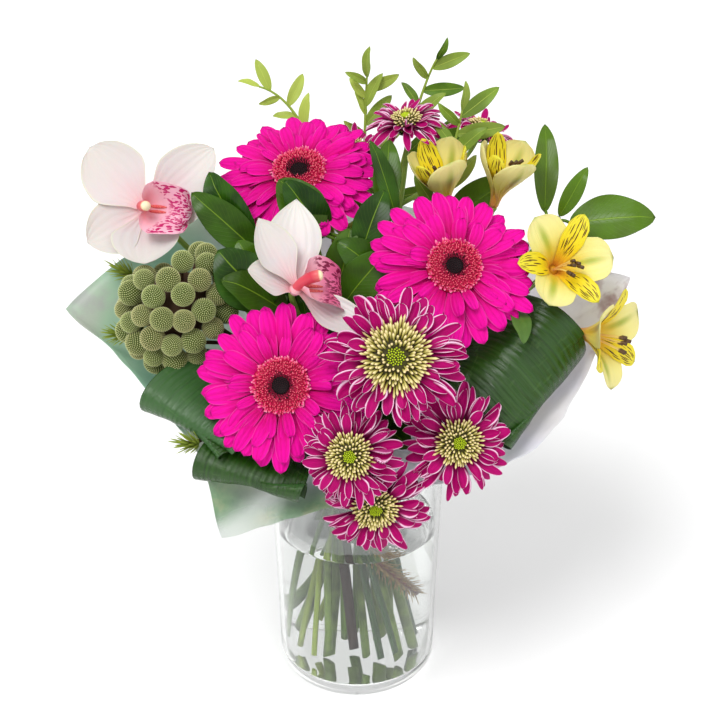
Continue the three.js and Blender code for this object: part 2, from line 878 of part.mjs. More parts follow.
function trumpetTepal(bearing, half, scale, z) {
  const angle = radians(bearing);
  const out = v3(Math.cos(angle), Math.sin(angle), 0);
  const side = v3(-Math.sin(angle), Math.cos(angle), 0);
  const stations = TRUMPET.map(([r, height, share], i) => {
    const [before, after] = [TRUMPET[Math.max(i - 1, 0)], TRUMPET[Math.min(i + 1, TRUMPET.length - 1)]];
    const run = v3(after[0] - before[0], 0, after[1] - before[1]).normalize();
    const up = out.clone().multiplyScalar(-run.z).setZ(run.x);
    const centre = out.clone().multiplyScalar(r * scale).setZ(height + z);
    return { centre, side, up, half: half * share, cup: 1.2 * share };
  });
  return blade(stations, 0.9);
}

// A leafy stem that forks to two alstroemerias.
function buildAlstroemeriaStem(name, heads, { fork, leaves, ...spec }) {
  const rootOf = (head, depth) => v3(0, 0, -depth).applyMatrix4(frameOf(head));
  const [first, second] = heads;
  const { line, made } = stem({
    ...spec,
    head: rootOf(first, 30 + GAP).toArray(),
    facing: first.facing,
    radius: 2.2,
  });
  const branch = shoot(onStem(line, fork), rootOf(second, 48).toArray(), rootOf(second, 30 + GAP), 1.7);
  const blades = [...stalksOf(line, leaves), ...leaves.map(leaf)];
  return meshOf(name, fuse([made, branch, ...blades]), COLOURS.stem);
}

// ---------------------------------------------------------------- leafy branches and twigs

// A branch with broad leaves. Each leaf's root is joined to the branch by a short stalk.
function buildBranch(name, { leaves, ...spec }) {
  const { line, made } = stem({ radius: 1.8, ...spec });
  return meshOf(name, fuse([made, ...stalksOf(line, leaves), ...leaves.map(leaf)]), COLOURS.leaf);
}

// A twig with small leaves in turn on its two sides, from part of the way up to its tip.
function buildTwig(name, { leaves, size = 17, ...spec }) {
  const [from, spread] = [0.7, 55];
  const { line, made } = stem({ radius: 1.5, ...spec });
  const small = Array.from({ length: leaves }, (_, i) => {
    const t = lerp(from, 1, i / (leaves - 1));
    const root = onStem(line, t);
    const along = line.upper.getTangent(t);
    const toward = v3(0, -0.87, 0.5);
    const side = along.clone().cross(toward).normalize();
    const angle = radians(i === leaves - 1 ? 0 : spread * (i % 2 ? 1 : -1));
    const way = along.clone().multiplyScalar(Math.cos(angle)).addScaledVector(side, Math.sin(angle));
    way.addScaledVector(toward, 0.25 * Math.cos(i * 2.1));
    const length = size * (1 - 0.25 * (i / leaves)) * (1 + 0.12 * Math.sin(i * 3.3));
    const tip = root.clone().addScaledVector(way.normalize(), length);
    return leaf({
      root: root.toArray(),
      tip: tip.toArray(),
      face: toward.toArray(),
      half: length * 0.26,
      fold: 0.5,
      outline: SLIM,
    });
  });
  return meshOf(name, fuse([made, ...small]), COLOURS.freshLeaf);
}

// A folded aspidistra leaf and the stalk that it stands on.
function buildFoldedLeaf(name, { path, fold, ...spec }) {
  const [x, y, z] = path[0];
  const next = v3(...path[1].slice(0, 3)).sub(v3(x, y, z));
  const head = v3(x, y, z).addScaledVector(next, 0.15);
  const {
    made } = stem({ radius: 1.9, lead: 14, bend: 12, ...spec, head: head.toArray(), facing: next.toArray(),
  });
  return meshOf(name, made.add(foldedLeaf({ path, fold })), COLOURS.darkLeaf, { roughness: 0.35 });
}

const FOLDED_LEAVES = {
  aspidistra_right: {
    place: [-38, 14.6],
    foot: 18,
    fold: [73, 65, 62],
    path: [
      [34, -16, 232, 4],
      [57, -21, 261, 25],
      [78, -32, 278, 42],
      [97, -46, 276, 49],
      [113, -56, 262, 50],
      [121, -55, 250, 45],
      [114, -47, 240, 36],
      [95, -35, 234, 24],
      [72, -24, 228, 0],
    ],
  },
  aspidistra_left: {
    place: [228, 14.6],
    foot: 22,
    fold: [-61, 27, 25],
    path: [
      [-30, -22, 225, 4],
      [-54, -34, 249, 20],
      [-76, -50, 261, 32],
      [-94, -68, 257, 36],
      [-106, -78, 249, 35],
      [-106, -75, 241, 30],
      [-92, -62, 235, 22],
      [-70, -46, 230, 0],
    ],
  },
  aspidistra_front: {
    place: [-125, 21],
    foot: 30,
    fold: [66, -6, -20],
    path: [
      [-24, -34, 206, 4],
      [-41, -60, 219, 18],
      [-51, -84, 223, 26],
      [-57, -97, 215, 29],
      [-56, -94, 206, 26],
      [-51, -80, 202, 18],
      [-41, -62, 202, 0],
    ],
  },
};

const TOWARD = [0, -0.8, 0.6];
const BRANCHES = {
  leaves_left: {
    place: [172, 7.6],
    foot: 36,
    head: [-66, 14, 328],
    facing: [-0.5, 0.1, 0.85],
    leaves: [
      { root: [-67, 14, 324], tip: [-98, 35, 370], face: [-0.4, -0.8, 0.5], half: 14, arch: 3 },
      { root: [-62, 12, 322], tip: [-108, 26, 360], face: [-0.2, -0.8, 0.5], half: 12, arch: 3, from: 0.85 },
      { root: [-54, -10, 306], tip: [-76, -4, 340], face: [-0.1, -0.9, 0.4], half: 13, arch: 3, from: 0.78 },
    ],
  },
  leaves_middle: {
    place: [0, 0],
    foot: 40,
    head: [-8, 8, 338],
    facing: [-0.1, 0, 1],
    leaves: [
      { root: [-20, 6, 338], tip: [-46, 0, 381], face: TOWARD, half: 13, arch: 4, from: 0.96 },
      { root: [18, -14, 312], tip: [-20, -16, 344], face: TOWARD, half: 12, arch: 3, from: 0.8 },
      { root: [18, 30, 343], tip: [22, 60, 384], face: TOWARD, half: 9, arch: 3, from: 0.9 },
      { root: [2, -2, 328], tip: [18, 18, 366], face: TOWARD, half: 11, arch: 3, from: 0.9 },
    ],
  },
  leaves_right: {
    place: [20, 14.6],
    foot: 26,
    head: [134, 36, 338],
    facing: [0.4, 0.1, 0.9],
    leaves: [
      { root: [140, 32, 334], tip: [196, 26, 344], face: [0.1, -0.7, 0.7], half: 15, arch: 3, from: 0.96 },
      { root: [126, 48, 335], tip: [127, 84, 385], face: TOWARD, half: 8, arch: 4, from: 0.9 },
      { root: [134, 36, 338], tip: [152, 44, 370], face: TOWARD, half: 6, arch: 2 },
    ],
  },
  leaves_back: {
    place: [58, 21],
    foot: 22,
    head: [56, 92, 332],
    facing: [0.2, 0.5, 0.8],
    leaves: [
      { root: [56, 92, 330], tip: [66, 128, 368], face: [0.2, 0.8, 0.4], half: 14, arch: 3 },
      { root: [62, 74, 314], tip: [106, 84, 344], face: [0.4, 0.8, 0.3], half: 13, arch: 3, from: 0.7 },
    ],
  },
  leaves_back_left: {
    place: [118, 21],
    foot: 26,
    head: [-52, 86, 318],
    facing: [-0.4, 0.5, 0.8],
    leaves: [
      { root: [-52, 84, 318], tip: [-66, 112, 356], face: [-0.3, 0.8, 0.4], half: 14, arch: 3 },
      { root: [-36, 74, 304], tip: [-22, 108, 330], face: [0.1, 0.8, 0.5], half: 12, arch: 3, from: 0.85 },
      { root: [-54, 64, 310], tip: [-94, 66, 344], face: [-0.5, 0.6, 0.5], half: 12, arch: 3, from: 0.85 },
    ],
  },
};
const TWIGS = {
  twig_left: {
    place: [140, 14.6],
    foot: 18,
    head: [-66, 132, 392],
    facing: [-0.95, -0.12, 0.3],
    lead: 66,
    leaves: 7,
  },
  twig_middle: {
    place: [75, 7.6],
    foot: 30,
    head: [7, 130, 412],
    facing: [0.05, -0.35, 1],
    lead: 60,
    leaves: 8,
  },
  twig_right: {
    place: [106, 14.6],
    foot: 16,
    head: [54, 130, 428],
    facing: [0.3, -0.3, 0.95],
    lead: 60,
    leaves: 8,
  },
  twig_long: { place: [50, 14.6], foot: 32, head: [70, 74, 398], facing: [0.1, 0, 1], leaves: 6, size: 23 },
};

// ---------------------------------------------------------------- the whole bouquet

const bouquet = new THREE.Group();
bouquet.name = "gerbera_bouquet";

for (const bloom of GERBERAS) bouquet.add(buildGerbera(bloom), buildGerberaStem(bloom));
for (const bloom of ORCHIDS) bouquet.add(buildOrchid(bloom), buildOrchidStem(bloom));
for (const bloom of [...FRONT_SPRAY, ...BACK_SPRAY]) bouquet.add(buildChrysanthemum(bloom));
bouquet.add(
  buildSpray("chrysanthemum_front_stem", FRONT_SPRAY, {
    place: [-72, 14.6],
    foot: 15,
    radius: 2.4,
    forks: [0.35, 0.4, 0.3],
    leaves: [],
  }),
  buildSpray("chrysanthemum_back_stem", BACK_SPRAY, {
    place: [78, 14.6],
    foot: 24,
    radius: 2.2,
    forks: [0.7, 0.7],
    leaves: [],
  }),
);
bouquet.add(buildBruniaHead(), buildBruniaStem());
for (const bloom of ALSTROEMERIAS) bouquet.add(buildAlstroemeria(bloom));
bouquet.add(
  buildAlstroemeriaStem("alstroemeria_right_stem", [ALSTROEMERIAS[0], ALSTROEMERIAS[1]], {
    place: [-6, 14.6],
    foot: 36,
    fork: 0.5,
    leaves: [{
      root: [101, -24, 303],
      tip: [106, -58, 296],
      face: [0.3, -0.3, 0.9],
      half: 7,
      arch: 2,
      from: 0.87,
    }],
  }),
  buildAlstroemeriaStem("alstroemeria_back_stem", [ALSTROEMERIAS[2], ALSTROEMERIAS[3]], {
    place: [25, 7.6],
    foot: 28,
    fork: 0.6,
    leaves: [],
  }),
);
for (const [name, spec] of Object.entries(FOLDED_LEAVES)) bouquet.add(buildFoldedLeaf(name, spec));
for (const [name, spec] of Object.entries(BRANCHES)) bouquet.add(buildBranch(name, spec));
for (const [name, spec] of Object.entries(TWIGS)) bouquet.add(buildTwig(name, spec));
bouquet.add(buildSheet(), buildTie(), buildVase(), buildWater());

export default bouquet;
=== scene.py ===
# %% [markdown]
# # Gerberas in a vase
#
# A hand-tied bunch stands in a glass vase of water: hot pink gerberas, purple chrysanthemums, white
# orchids, yellow alstroemerias, a head of brunia, folded aspidistra leaves and small-leaved twigs, all
# in a translucent wrapping sheet. The packed model gives every piece its place. Here each one is made
# again as a fine surface, worked out with numpy, and given its finish.

import bpy
import numpy as np
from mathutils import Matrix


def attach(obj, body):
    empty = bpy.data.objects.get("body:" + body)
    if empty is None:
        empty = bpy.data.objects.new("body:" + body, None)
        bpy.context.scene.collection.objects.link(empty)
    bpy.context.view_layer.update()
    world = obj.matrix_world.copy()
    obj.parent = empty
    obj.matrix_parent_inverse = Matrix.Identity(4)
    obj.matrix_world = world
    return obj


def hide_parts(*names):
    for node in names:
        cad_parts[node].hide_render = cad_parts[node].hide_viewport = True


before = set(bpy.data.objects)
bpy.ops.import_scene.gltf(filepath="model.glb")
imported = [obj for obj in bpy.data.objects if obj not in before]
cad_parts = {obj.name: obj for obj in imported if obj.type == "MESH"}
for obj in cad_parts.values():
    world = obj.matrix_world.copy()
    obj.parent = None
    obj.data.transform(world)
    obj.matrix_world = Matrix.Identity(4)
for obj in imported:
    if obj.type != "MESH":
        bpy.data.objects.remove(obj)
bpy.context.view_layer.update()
MM = 0.001

# %% [markdown]
# All numbers below are millimetres in the frame of the packed model, and become metres when a mesh is
# made. A bloom is built round its own axis, so most shapes start from a bearing round that axis.

# %% Directions and easing
PI = np.pi
UP = np.array([0.0, 0.0, 1.0])
TOWARD = (0.0, -0.8, 0.6)


def unit(vectors):
    """Each vector divided by its own length."""
    vectors = np.asarray(vectors, float)
    return vectors / np.maximum(np.linalg.norm(vectors, axis=-1, keepdims=True), 1e-9)


def around(bearing):
    """The two level directions at bearings in radians: out from the middle, and on round it."""
    level = 0.0 * bearing
    out = np.stack([np.cos(bearing), np.sin(bearing), level], -1)
    return out, np.stack([-np.sin(bearing), np.cos(bearing), level], -1)


def smooth(share):
    """3s^2 - 2s^3 of the share held between 0 and 1: level at both ends."""
    share = np.clip(share, 0, 1)
    return share * share * (3 - 2 * share)


def bell(x, width):
    """1 at x = 0, and next to nothing a few widths from it: exp(-(x / width)^2)."""
    return np.exp(-((x / width) ** 2))


print("at bearing 0 a bloom's ways are", *(way.tolist() for way in around(0.0)))

# %% [markdown]
# Stems, petal middles and edges are smooth lines in life, so they are drawn from a few points. A
# Catmull-Rom line passes through all its points, which suits an edge that was measured, and a Bezier
# line is steered by two of its four, which suits a stem that leaves and arrives in known directions.

# %% Smooth lines
def catmull_rom(a, b, c, d, t):
    """The cubic from b to c, whose slopes follow the neighbours a and d."""
    return 0.5 * (2 * b + (c - a) * t + (2 * a - 5 * b + 4 * c - d) * t**2 + (3 * b - a - 3 * c + d) * t**3)


def through(points, count):
    """A Catmull-Rom line through all the points, with count places, evenly shared among its stretches."""
    points = np.asarray(points, float)
    padded = np.vstack([2 * points[0] - points[1], points, 2 * points[-1] - points[-2]])
    at = np.linspace(0, len(points) - 1, count)
    i = np.minimum(at.astype(int), len(points) - 2)
    return catmull_rom(*(padded[i + k] for k in range(4)), (at - i)[:, None])


def bezier(a, b, c, d, count):
    """The cubic that leaves a towards b and comes to d from c."""
    t = np.linspace(0, 1, count)[:, None]
    a, b, c, d = (np.asarray(p, float) for p in (a, b, c, d))
    return (1 - t) ** 3 * a + 3 * t * (1 - t) ** 2 * b + 3 * t**2 * (1 - t) * c + t**3 * d


def along(line):
    """The unit tangent at each point of a line, from the points on its two sides."""
    return unit(np.gradient(line, axis=-2))


corner = through([(0, 0, 0), (1, 0, 0), (1, 1, 0)], 5)
print("a line through a right-angled corner is at", corner[1].round(2), "early on")

# %% [markdown]
# A flower can face any way, yet it always grows the same round its own axis. So each bloom is modelled
# lying flat, facing up, and is then seated: turned to the way it faces, rolled about that axis, and
# carried to its place.

# %% The frame of a bloom
def bloom_axes(facing, roll=0.0):
    """The three axes of a bloom as rows: X level, Y upwards and Z the way it faces, then X and Y
    turned about Z by roll degrees."""
    z = unit(facing)
    x = unit(np.cross(UP, z))
    y = np.cross(z, x)
    c, s = np.cos(np.radians(roll)), np.sin(np.radians(roll))
    x = c * x + s * y
    return np.stack([x, np.cross(z, x), z])


def seated(points, bloom):
    """Points of a bloom's own frame, brought to where the bloom is."""
    axes = bloom_axes(bloom["facing"], bloom.get("roll", 0))
    return np.asarray(points, float) @ axes + np.array(bloom["at"])


print("a bloom that faces the camera has the axes", bloom_axes((0, -1, 0)).round(2).tolist())

# %% [markdown]
# Every piece is one or more grids of points. A grid that is closed round, like a tube or a thin petal
# with two sides, needs only its ends drawn together to be a closed body. The class below gathers grids,
# in batches where a shape repeats. Each point also carries what its finish needs to know: how far across
# and along the petal it lies, which side it is on, and a number of the petal's own.

# %% Grids of points gathered into one mesh
class Gathering:
    """Grids of points that become one mesh. Given a bloom, they lie in its own frame."""

    def __init__(self, bloom=None):
        self.bloom = bloom
        self.points, self.corners, self.marks, self.tints, self.count = [], [], [], [], 0

    def add(self, grid, mark=None, tint=0.5, ends=True, bloom=None):
        """Adds grids shaped (..., rows, columns, 3), closed round their columns. With ends, the first
        and the last row are each drawn together at their middle. mark is (across, along, upper side) at
        each point. With ends="round" the last row joins the first, as in a ring or in a sheet with two
        sides. Grids that come out inside out are turned, by the sign of the volume they enclose."""
        grid = np.asarray(grid, float)
        rows, columns = grid.shape[-3:-1]
        grid = grid.reshape(-1, rows, columns, 3)
        if bloom or self.bloom:
            grid = seated(grid, bloom or self.bloom)
        many = len(grid)
        if mark is None:
            mark = np.zeros((rows, columns, 3))
            mark[..., 0] = np.linspace(-1, 1, columns)
            mark[..., 1] = np.linspace(0, 1, rows)[:, None]
        mark = np.broadcast_to(np.asarray(mark, float), grid.shape)
        tint = np.broadcast_to(np.reshape(tint, (-1, 1)), (many, 1))
        index = np.arange(rows * columns).reshape(rows, columns)
        if ends == "round":
            index = np.concatenate([index, index[:1]])
        elif ends:
            grid = grid.copy()
            grid[:, 0] = grid[:, :1].mean(2)
            grid[:, -1] = grid[:, -1:].mean(2)
            index[0], index[-1] = index[0, 0], index[-1, 0]
        closed = np.concatenate([index, index[:, :1]], 1)
        quads = np.stack([closed[:-1, :-1], closed[:-1, 1:], closed[1:, 1:], closed[1:, :-1]], -1)
        quads = quads.reshape(-1, 4)
        flat = grid.reshape(many, -1, 3)
        a, b, c, d = (flat[:, quads[:, k]] for k in range(4))
        centre = flat.mean(1, keepdims=True)
        volume = np.einsum("nij,nij->n", a - centre, np.cross(b - centre, c - centre))
        volume += np.einsum("nij,nij->n", a - centre, np.cross(c - centre, d - centre))
        turned = np.where((volume < 0)[:, None, None], quads[None, :, ::-1], quads[None])
        turned = turned + (self.count + np.arange(many) * rows * columns)[:, None, None]
        self.points.append(flat.reshape(-1, 3))
        self.corners.append(turned.reshape(-1, 4))
        self.marks.append(mark.reshape(-1, 3))
        self.tints.append(np.broadcast_to(tint, (many, rows * columns)).ravel())
        self.count += many * rows * columns
        return self

    def arrays(self):
        """Points, corners, marks and tints, with the points that no face uses left out. A face whose
        first two or last two corners are one point is a triangle, and its last corner is -1."""
        corners = np.concatenate(self.corners)
        first, last = corners[:, 0] == corners[:, 1], corners[:, 2] == corners[:, 3]
        edge = (corners[:, 1] == corners[:, 2]) | (corners[:, 3] == corners[:, 0])
        corners = corners[~(first & last) & ~edge]
        first, last = corners[:, 0] == corners[:, 1], corners[:, 2] == corners[:, 3]
        corners[first] = np.column_stack([corners[first][:, 1:], np.full(first.sum(), -1)])
        corners[last, 3] = -1
        used, place = np.unique(corners[corners >= 0], return_inverse=True)
        corners[corners >= 0] = place
        return (np.concatenate(self.points)[used], corners, np.concatenate(self.marks)[used],
                np.concatenate(self.tints)[used])


tube = Gathering().add(np.ones((5, 8, 3)), ends=False)
print("a tube of 5 rings of 8 points has", len(tube.arrays()[1]), "faces")

# %% [markdown]
# A mesh is filled straight from arrays with foreach_set, which is quick for many points. The place of
# each piece is in its points, so its object stays at the origin. The marks and the tint go in as
# attributes of the points, because a finish can read them wherever the surface bends.

# %% From a gathering to a piece
def make_piece(name, gathered, finish, slot, *stands_for):
    """One mesh piece in metres, closed and facing out, that rides on the body and stands for its nodes."""
    points, corners, marks, tints = gathered.arrays()
    mesh = bpy.data.meshes.new(name)
    sizes = (corners >= 0).sum(1)
    flat = corners[corners >= 0]
    mesh.vertices.add(len(points))
    mesh.vertices.foreach_set("co", (points * MM).astype(np.float32).ravel())
    mesh.loops.add(len(flat))
    mesh.loops.foreach_set("vertex_index", flat.astype(np.int32))
    mesh.polygons.add(len(sizes))
    mesh.polygons.foreach_set("loop_start", (np.cumsum(sizes) - sizes).astype(np.int32))
    mesh.polygons.foreach_set("use_smooth", np.ones(len(sizes), bool))
    mesh.update(calc_edges=True)
    attributes = (("mark", "FLOAT_VECTOR", "vector", marks), ("tint", "FLOAT", "value", tints))
    for label, kind, field, values in attributes:
        layer = mesh.attributes.new(label, kind, "POINT")
        layer.data.foreach_set(field, values.astype(np.float32).ravel())
    mesh.materials.append(finish)
    piece = bpy.data.objects.new(name, mesh)
    bpy.context.scene.collection.objects.link(piece)
    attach(piece, "root")
    if stands_for:
        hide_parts(*stands_for)
    print(f"{name}: {int((sizes - 2).sum())} triangles")
    return piece


print("1000 mm are", 1000 * MM, "m")

# %% [markdown]
# Two shapes make nearly the whole bunch. A blade is a thin petal or leaf: a spine, a width along it, and
# a lift that cups it or folds it at the rib. A tube is a profile of radii carried along a line, for
# stems, florets and stamens.

# %% Blades
def blades(spine, side, half, lift=0.0, thickness=0.5, columns=7):
    """Thin closed blades. spine is (..., rows, 3), side the direction across and half the half width at
    each row. A point at x from -1 to 1 across is spine + side * half * x + up * lift(x), where up is
    side crossed into the tangent. The lower side lies under it by thickness * sqrt(1 - x^2), so that
    both meet at the edges. Returns the grids and their marks."""
    up = unit(np.cross(along(spine), side))[..., None, :]
    x = np.sin(np.linspace(-PI / 2, PI / 2, columns))
    level = np.broadcast_to(lift(x) if callable(lift) else lift * x**2, (*half.shape, columns))
    top = spine[..., None, :] + side[..., None, :] * (half[..., None] * x)[..., None] + up * level[..., None]
    room = thickness * np.sqrt(np.maximum(1 - x**2, 0)) * np.minimum(1, half[..., None] / (0.6 * thickness))
    under = top - up * room[..., None]
    grid = np.concatenate([top, under[..., -2:0:-1, :]], axis=-2)
    rows = half.shape[-1]
    across = np.concatenate([x, x[-2:0:-1]])
    upper = np.concatenate([np.ones(columns), np.zeros(columns - 2)])
    mark = np.stack(np.broadcast_arrays(across, np.linspace(0, 1, rows)[:, None], upper), -1)
    return grid, mark


def across_of(line, guide):
    """Unit directions square to a line and as near as may be to the guide direction."""
    tangent = along(line)
    guide = np.broadcast_to(np.asarray(guide, float), line.shape)
    return unit(guide - tangent * (guide * tangent).sum(-1, keepdims=True))


x = np.linspace(0, 10, 5)
grid, mark = blades(np.stack([0 * x, x, 0 * x], -1), np.broadcast_to([1.0, 0, 0], (5, 3)), np.full(5, 2.0))
print("a blade 10 long and 4 wide spans", np.ptp(grid.reshape(-1, 3), axis=0).round(2).tolist())

# %% [markdown]
# Stems, stamens and florets are round, so rings of points are carried along a line. Each ring needs a
# direction across the line that doesn't spin: the square to the plane that the line bends in is one.

# %% Tubes
ODD_WAY = (0.31, 0.95, 0.17)


def tubes(line, radius, sides=10, guide=None, relief=None):
    """Rings carried along a line (..., rows, 3): point = line + radius * (first * cos a + second * sin
    a), where first is square to the line and second square to both. relief(a, s) scales the radius."""
    line = np.asarray(line, float)
    if guide is None:
        leaves, arrives = line[..., 1, :] - line[..., 0, :], line[..., -1, :] - line[..., -2, :]
        bend = np.cross(leaves, arrives)
        limit = 1e-3 * np.linalg.norm(leaves, axis=-1, keepdims=True) ** 2
        straight = np.linalg.norm(bend, axis=-1, keepdims=True) < limit
        guide = np.where(straight, np.cross(line[..., -1, :] - line[..., 0, :], ODD_WAY), bend)[..., None, :]
    first = across_of(line, guide)
    second = np.cross(along(line), first)
    a = np.linspace(0, 2 * PI, sides, endpoint=False)
    radius = np.broadcast_to(np.asarray(radius, float), line.shape[:-1])[..., None]
    if relief is not None:
        radius = radius * relief(a, np.linspace(0, 1, line.shape[-2])[:, None])
    ring = first[..., None, :] * np.cos(a)[:, None] + second[..., None, :] * np.sin(a)[:, None]
    return line[..., None, :] + ring * radius[..., None]


ring = tubes(np.outer(np.arange(4.0), UP), 2.0, 24)
radius = np.hypot(ring[1, :, 0], ring[1, :, 1]).mean()
print("a tube of radius 2 has points", radius.round(3), "from its line")

# %% [markdown]
# A cut stem ends square, so a short row is added at each end before the tube is closed. The vase, the
# cups and the hubs are turned shapes, as on a potter's wheel.

# %% Square ends and turned shapes
def capped(line, radius):
    """A line and its radii with a short row added at each end, so that the tube ends square."""
    close = 0.02
    line, radius = np.asarray(line, float), np.broadcast_to(np.asarray(radius, float), len(line)).copy()
    first = line[0] + (line[1] - line[0]) * close
    last = line[-1] + (line[-2] - line[-1]) * close
    line = np.vstack([line[:1], first, line[1:-1], last, line[-1:]])
    radius = np.concatenate([radius[:1], radius[:1], radius[1:-1], radius[-1:], radius[-1:]])
    return line, radius


def lathe(profile, sides=96, relief=None):
    """A profile of (radius, height) pairs turned about Z: (r cos a, r sin a, z). relief(a) scales r."""
    profile = np.asarray(profile, float)
    a = np.linspace(0, 2 * PI, sides, endpoint=False)
    r = profile[:, :1] * (1 if relief is None else relief(a))
    z = np.broadcast_to(profile[:, 1:], (len(profile), sides))
    return np.stack([r * np.cos(a), r * np.sin(a), z], -1)


print("a turned cone has", lathe([(0, 0), (5, 0), (0, 9)]).shape[:2], "rows and sides")

# %% [markdown]
# Colours are written as they look on screen, from 0 to 255. A shader counts light, which doesn't keep
# step with those numbers, so each is turned into a linear one.

# %% Colours as a shader counts them
def colour(red, green, blue):
    """A colour given as 0 to 255 on screen, as the linear numbers that a shader works with."""
    screen = np.array([red, green, blue]) / 255
    linear = np.where(screen <= 0.04045, screen / 12.92, ((screen + 0.055) / 1.055) ** 2.4)
    return (*linear.tolist(), 1.0)


print("middle grey on screen is", round(colour(128, 128, 128)[0], 3), "to a shader")

# %% [markdown]
# A pattern on a petal is a sum of a few simple ones: stripes from a sine, clouds from noise, an edge
# from a smooth step. A wire stands for one output of a node and knows the signs of arithmetic, so the
# sum is written as it is said, and each sign adds its node.

# %% Sums on the output of a node
class Wire:
    """One output of a node. Arithmetic on it adds Math nodes."""

    def __init__(self, finish, socket):
        self.finish, self.socket = finish, socket

    def sum_with(self, operation, *others):
        """The output of one Math node that takes this wire first."""
        return self.finish.node("ShaderNodeMath", dict(enumerate((self, *others))), operation=operation)

    def __add__(self, other):
        return self.sum_with("ADD", other)

    def __sub__(self, other):
        return self.sum_with("SUBTRACT", other)

    def __mul__(self, other):
        return self.sum_with("MULTIPLY", other)

    def __gt__(self, other):
        return self.sum_with("GREATER_THAN", other)

    def __lt__(self, other):
        return self.sum_with("LESS_THAN", other)

    def __rsub__(self, other):
        return self.finish.node("ShaderNodeMath", {0: other, 1: self}, operation="SUBTRACT")

    __radd__, __rmul__ = __add__, __mul__

    def sin(self):
        return self.sum_with("SINE")

    def size(self):
        return self.sum_with("ABSOLUTE")

    def step(self, low, high):
        """0 below low, 1 above high and smooth between them."""
        values = {0: self, 1: low, 2: high}
        return self.finish.node("ShaderNodeMapRange", values, interpolation_type="SMOOTHSTEP")


print("a wire knows the sums", [name.strip("_") for name in vars(Wire) if name.startswith("__")][2:])

# %% [markdown]
# A finish is one material and its main shader. It adds a node of any kind, and has a word for what
# petals and leaves need over and over. What is the same all over is set when the finish is named.

# %% A material under way
class Finish:
    """A material under way. Keyword values are set on the sockets of its main shader."""

    def __init__(self, name, **constants):
        self.material = bpy.data.materials.new(name)
        self.material.use_nodes = True
        self.tree = self.material.node_tree
        self.shader = self.tree.nodes["Principled BSDF"]
        for socket, value in constants.items():
            self.shader.inputs[socket.replace("_", " ").title().replace("Ior", "IOR")].default_value = value
        self.body = Wire(self, self.shader.outputs[0])
        self._marks = None

    def node(self, kind, values=(), output=0, stops=None, **settings):
        """Adds one node: its settings first, then each socket's value or link. Gives one output, or a
        list of them where output is a list."""
        made = self.tree.nodes.new(kind)
        for name, value in settings.items():
            setattr(made, name, value)
        if stops:
            ramp = made.color_ramp
            while len(ramp.elements) < len(stops):
                ramp.elements.new(0.5)
            for element, (place, shade) in zip(ramp.elements, stops):
                element.position, element.color = place, shade
        for key, value in dict(values).items():
            if isinstance(value, Wire):
                self.tree.links.new(value.socket, made.inputs[key])
            else:
                made.inputs[key].default_value = value
        if isinstance(output, list):
            return [Wire(self, made.outputs[which]) for which in output]
        return Wire(self, made.outputs[output])

    def marks(self):
        """How far across (-1 to 1), how far along (0 to 1) and which side (1 is the upper)."""
        if self._marks is None:
            place = self.node("ShaderNodeAttribute", output="Vector", attribute_name="mark")
            self._marks = self.node("ShaderNodeSeparateXYZ", {0: place}, output=[0, 1, 2])
        return self._marks

    def tint(self):
        """The petal's or leaf's own number."""
        return self.node("ShaderNodeAttribute", output="Fac", attribute_name="tint")

    def where(self):
        """Places in metres on the object."""
        return self.node("ShaderNodeTexCoord", output="Object")

    def millimetres(self):
        """Places on the object as three numbers in millimetres."""
        axes = self.node("ShaderNodeSeparateXYZ", {0: self.where()}, output=[0, 1, 2])
        return [axis * 1000 for axis in axes]

    def noise(self, scale, detail=3.0, rough=0.5, vector=None):
        """Soft clouds, over the object's places or over a vector of the finish's own."""
        values = {"Scale": scale, "Detail": detail, "Roughness": rough, "Vector": vector or self.where()}
        return self.node("ShaderNodeTexNoise", values)

    def cells(self, scale, vector):
        """How far a place is from the nearest of many scattered points."""
        return self.node("ShaderNodeTexVoronoi", {"Scale": scale, "Vector": vector})

    def joined(self, x, y, z):
        """Three numbers as one vector."""
        return self.node("ShaderNodeCombineXYZ", {0: x, 1: y, 2: z})

    def mix(self, share, a, b):
        """Colour a where share is 0 and b where it is 1."""
        a, b = (colour(*shade) if isinstance(shade, tuple) else shade for shade in (a, b))
        return self.node("ShaderNodeMix", {0: share, 6: a, 7: b}, 2, data_type="RGBA")

    def ramp(self, share, *stops):
        """A run of colours. A stop is its place, then its red, green and blue on screen."""
        stops = [(place, colour(*shade)) for place, *shade in stops]
        return self.node("ShaderNodeValToRGB", {0: share}, stops=stops)

    def bump(self, height, depth, strength):
        """Lets the surface look raised by height times depth, in metres."""
        normal = self.node("ShaderNodeBump", {"Height": height, "Distance": depth, "Strength": strength})
        self.tree.links.new(normal.socket, self.shader.inputs["Normal"])

    def set(self, **wires):
        """Links outputs to sockets of the main shader, and gives the material."""
        for socket, wire in wires.items():
            self.tree.links.new(wire.socket, self.shader.inputs[socket.replace("_", " ").title()])
        print(f"{self.material.name}: {len(self.tree.nodes)} nodes")
        return self.material

    def blend(self, share, a, b):
        """Shader a where share is 0 and b where it is 1."""
        return self.node("ShaderNodeMixShader", {0: share, 1: a, 2: b})

    def show(self, shader):
        """Makes a shader what the material shows, and gives the material."""
        self.tree.links.new(shader.socket, self.tree.nodes["Material Output"].inputs["Surface"])
        return self.material


trial = Finish("trial")
trial.set(roughness=1 - (trial.tint() * 3.0 + 0.5).step(0.2, 0.8))
bpy.data.materials.remove(trial.material)

# %% [markdown]
# The photograph looks down on the bunch by thirty degrees from a little more than a metre, with a lens
# that shows it without much perspective. How much of the bunch's top can be seen gives the angle, and
# how wide the vase's rim looks against its foot gives the distance.

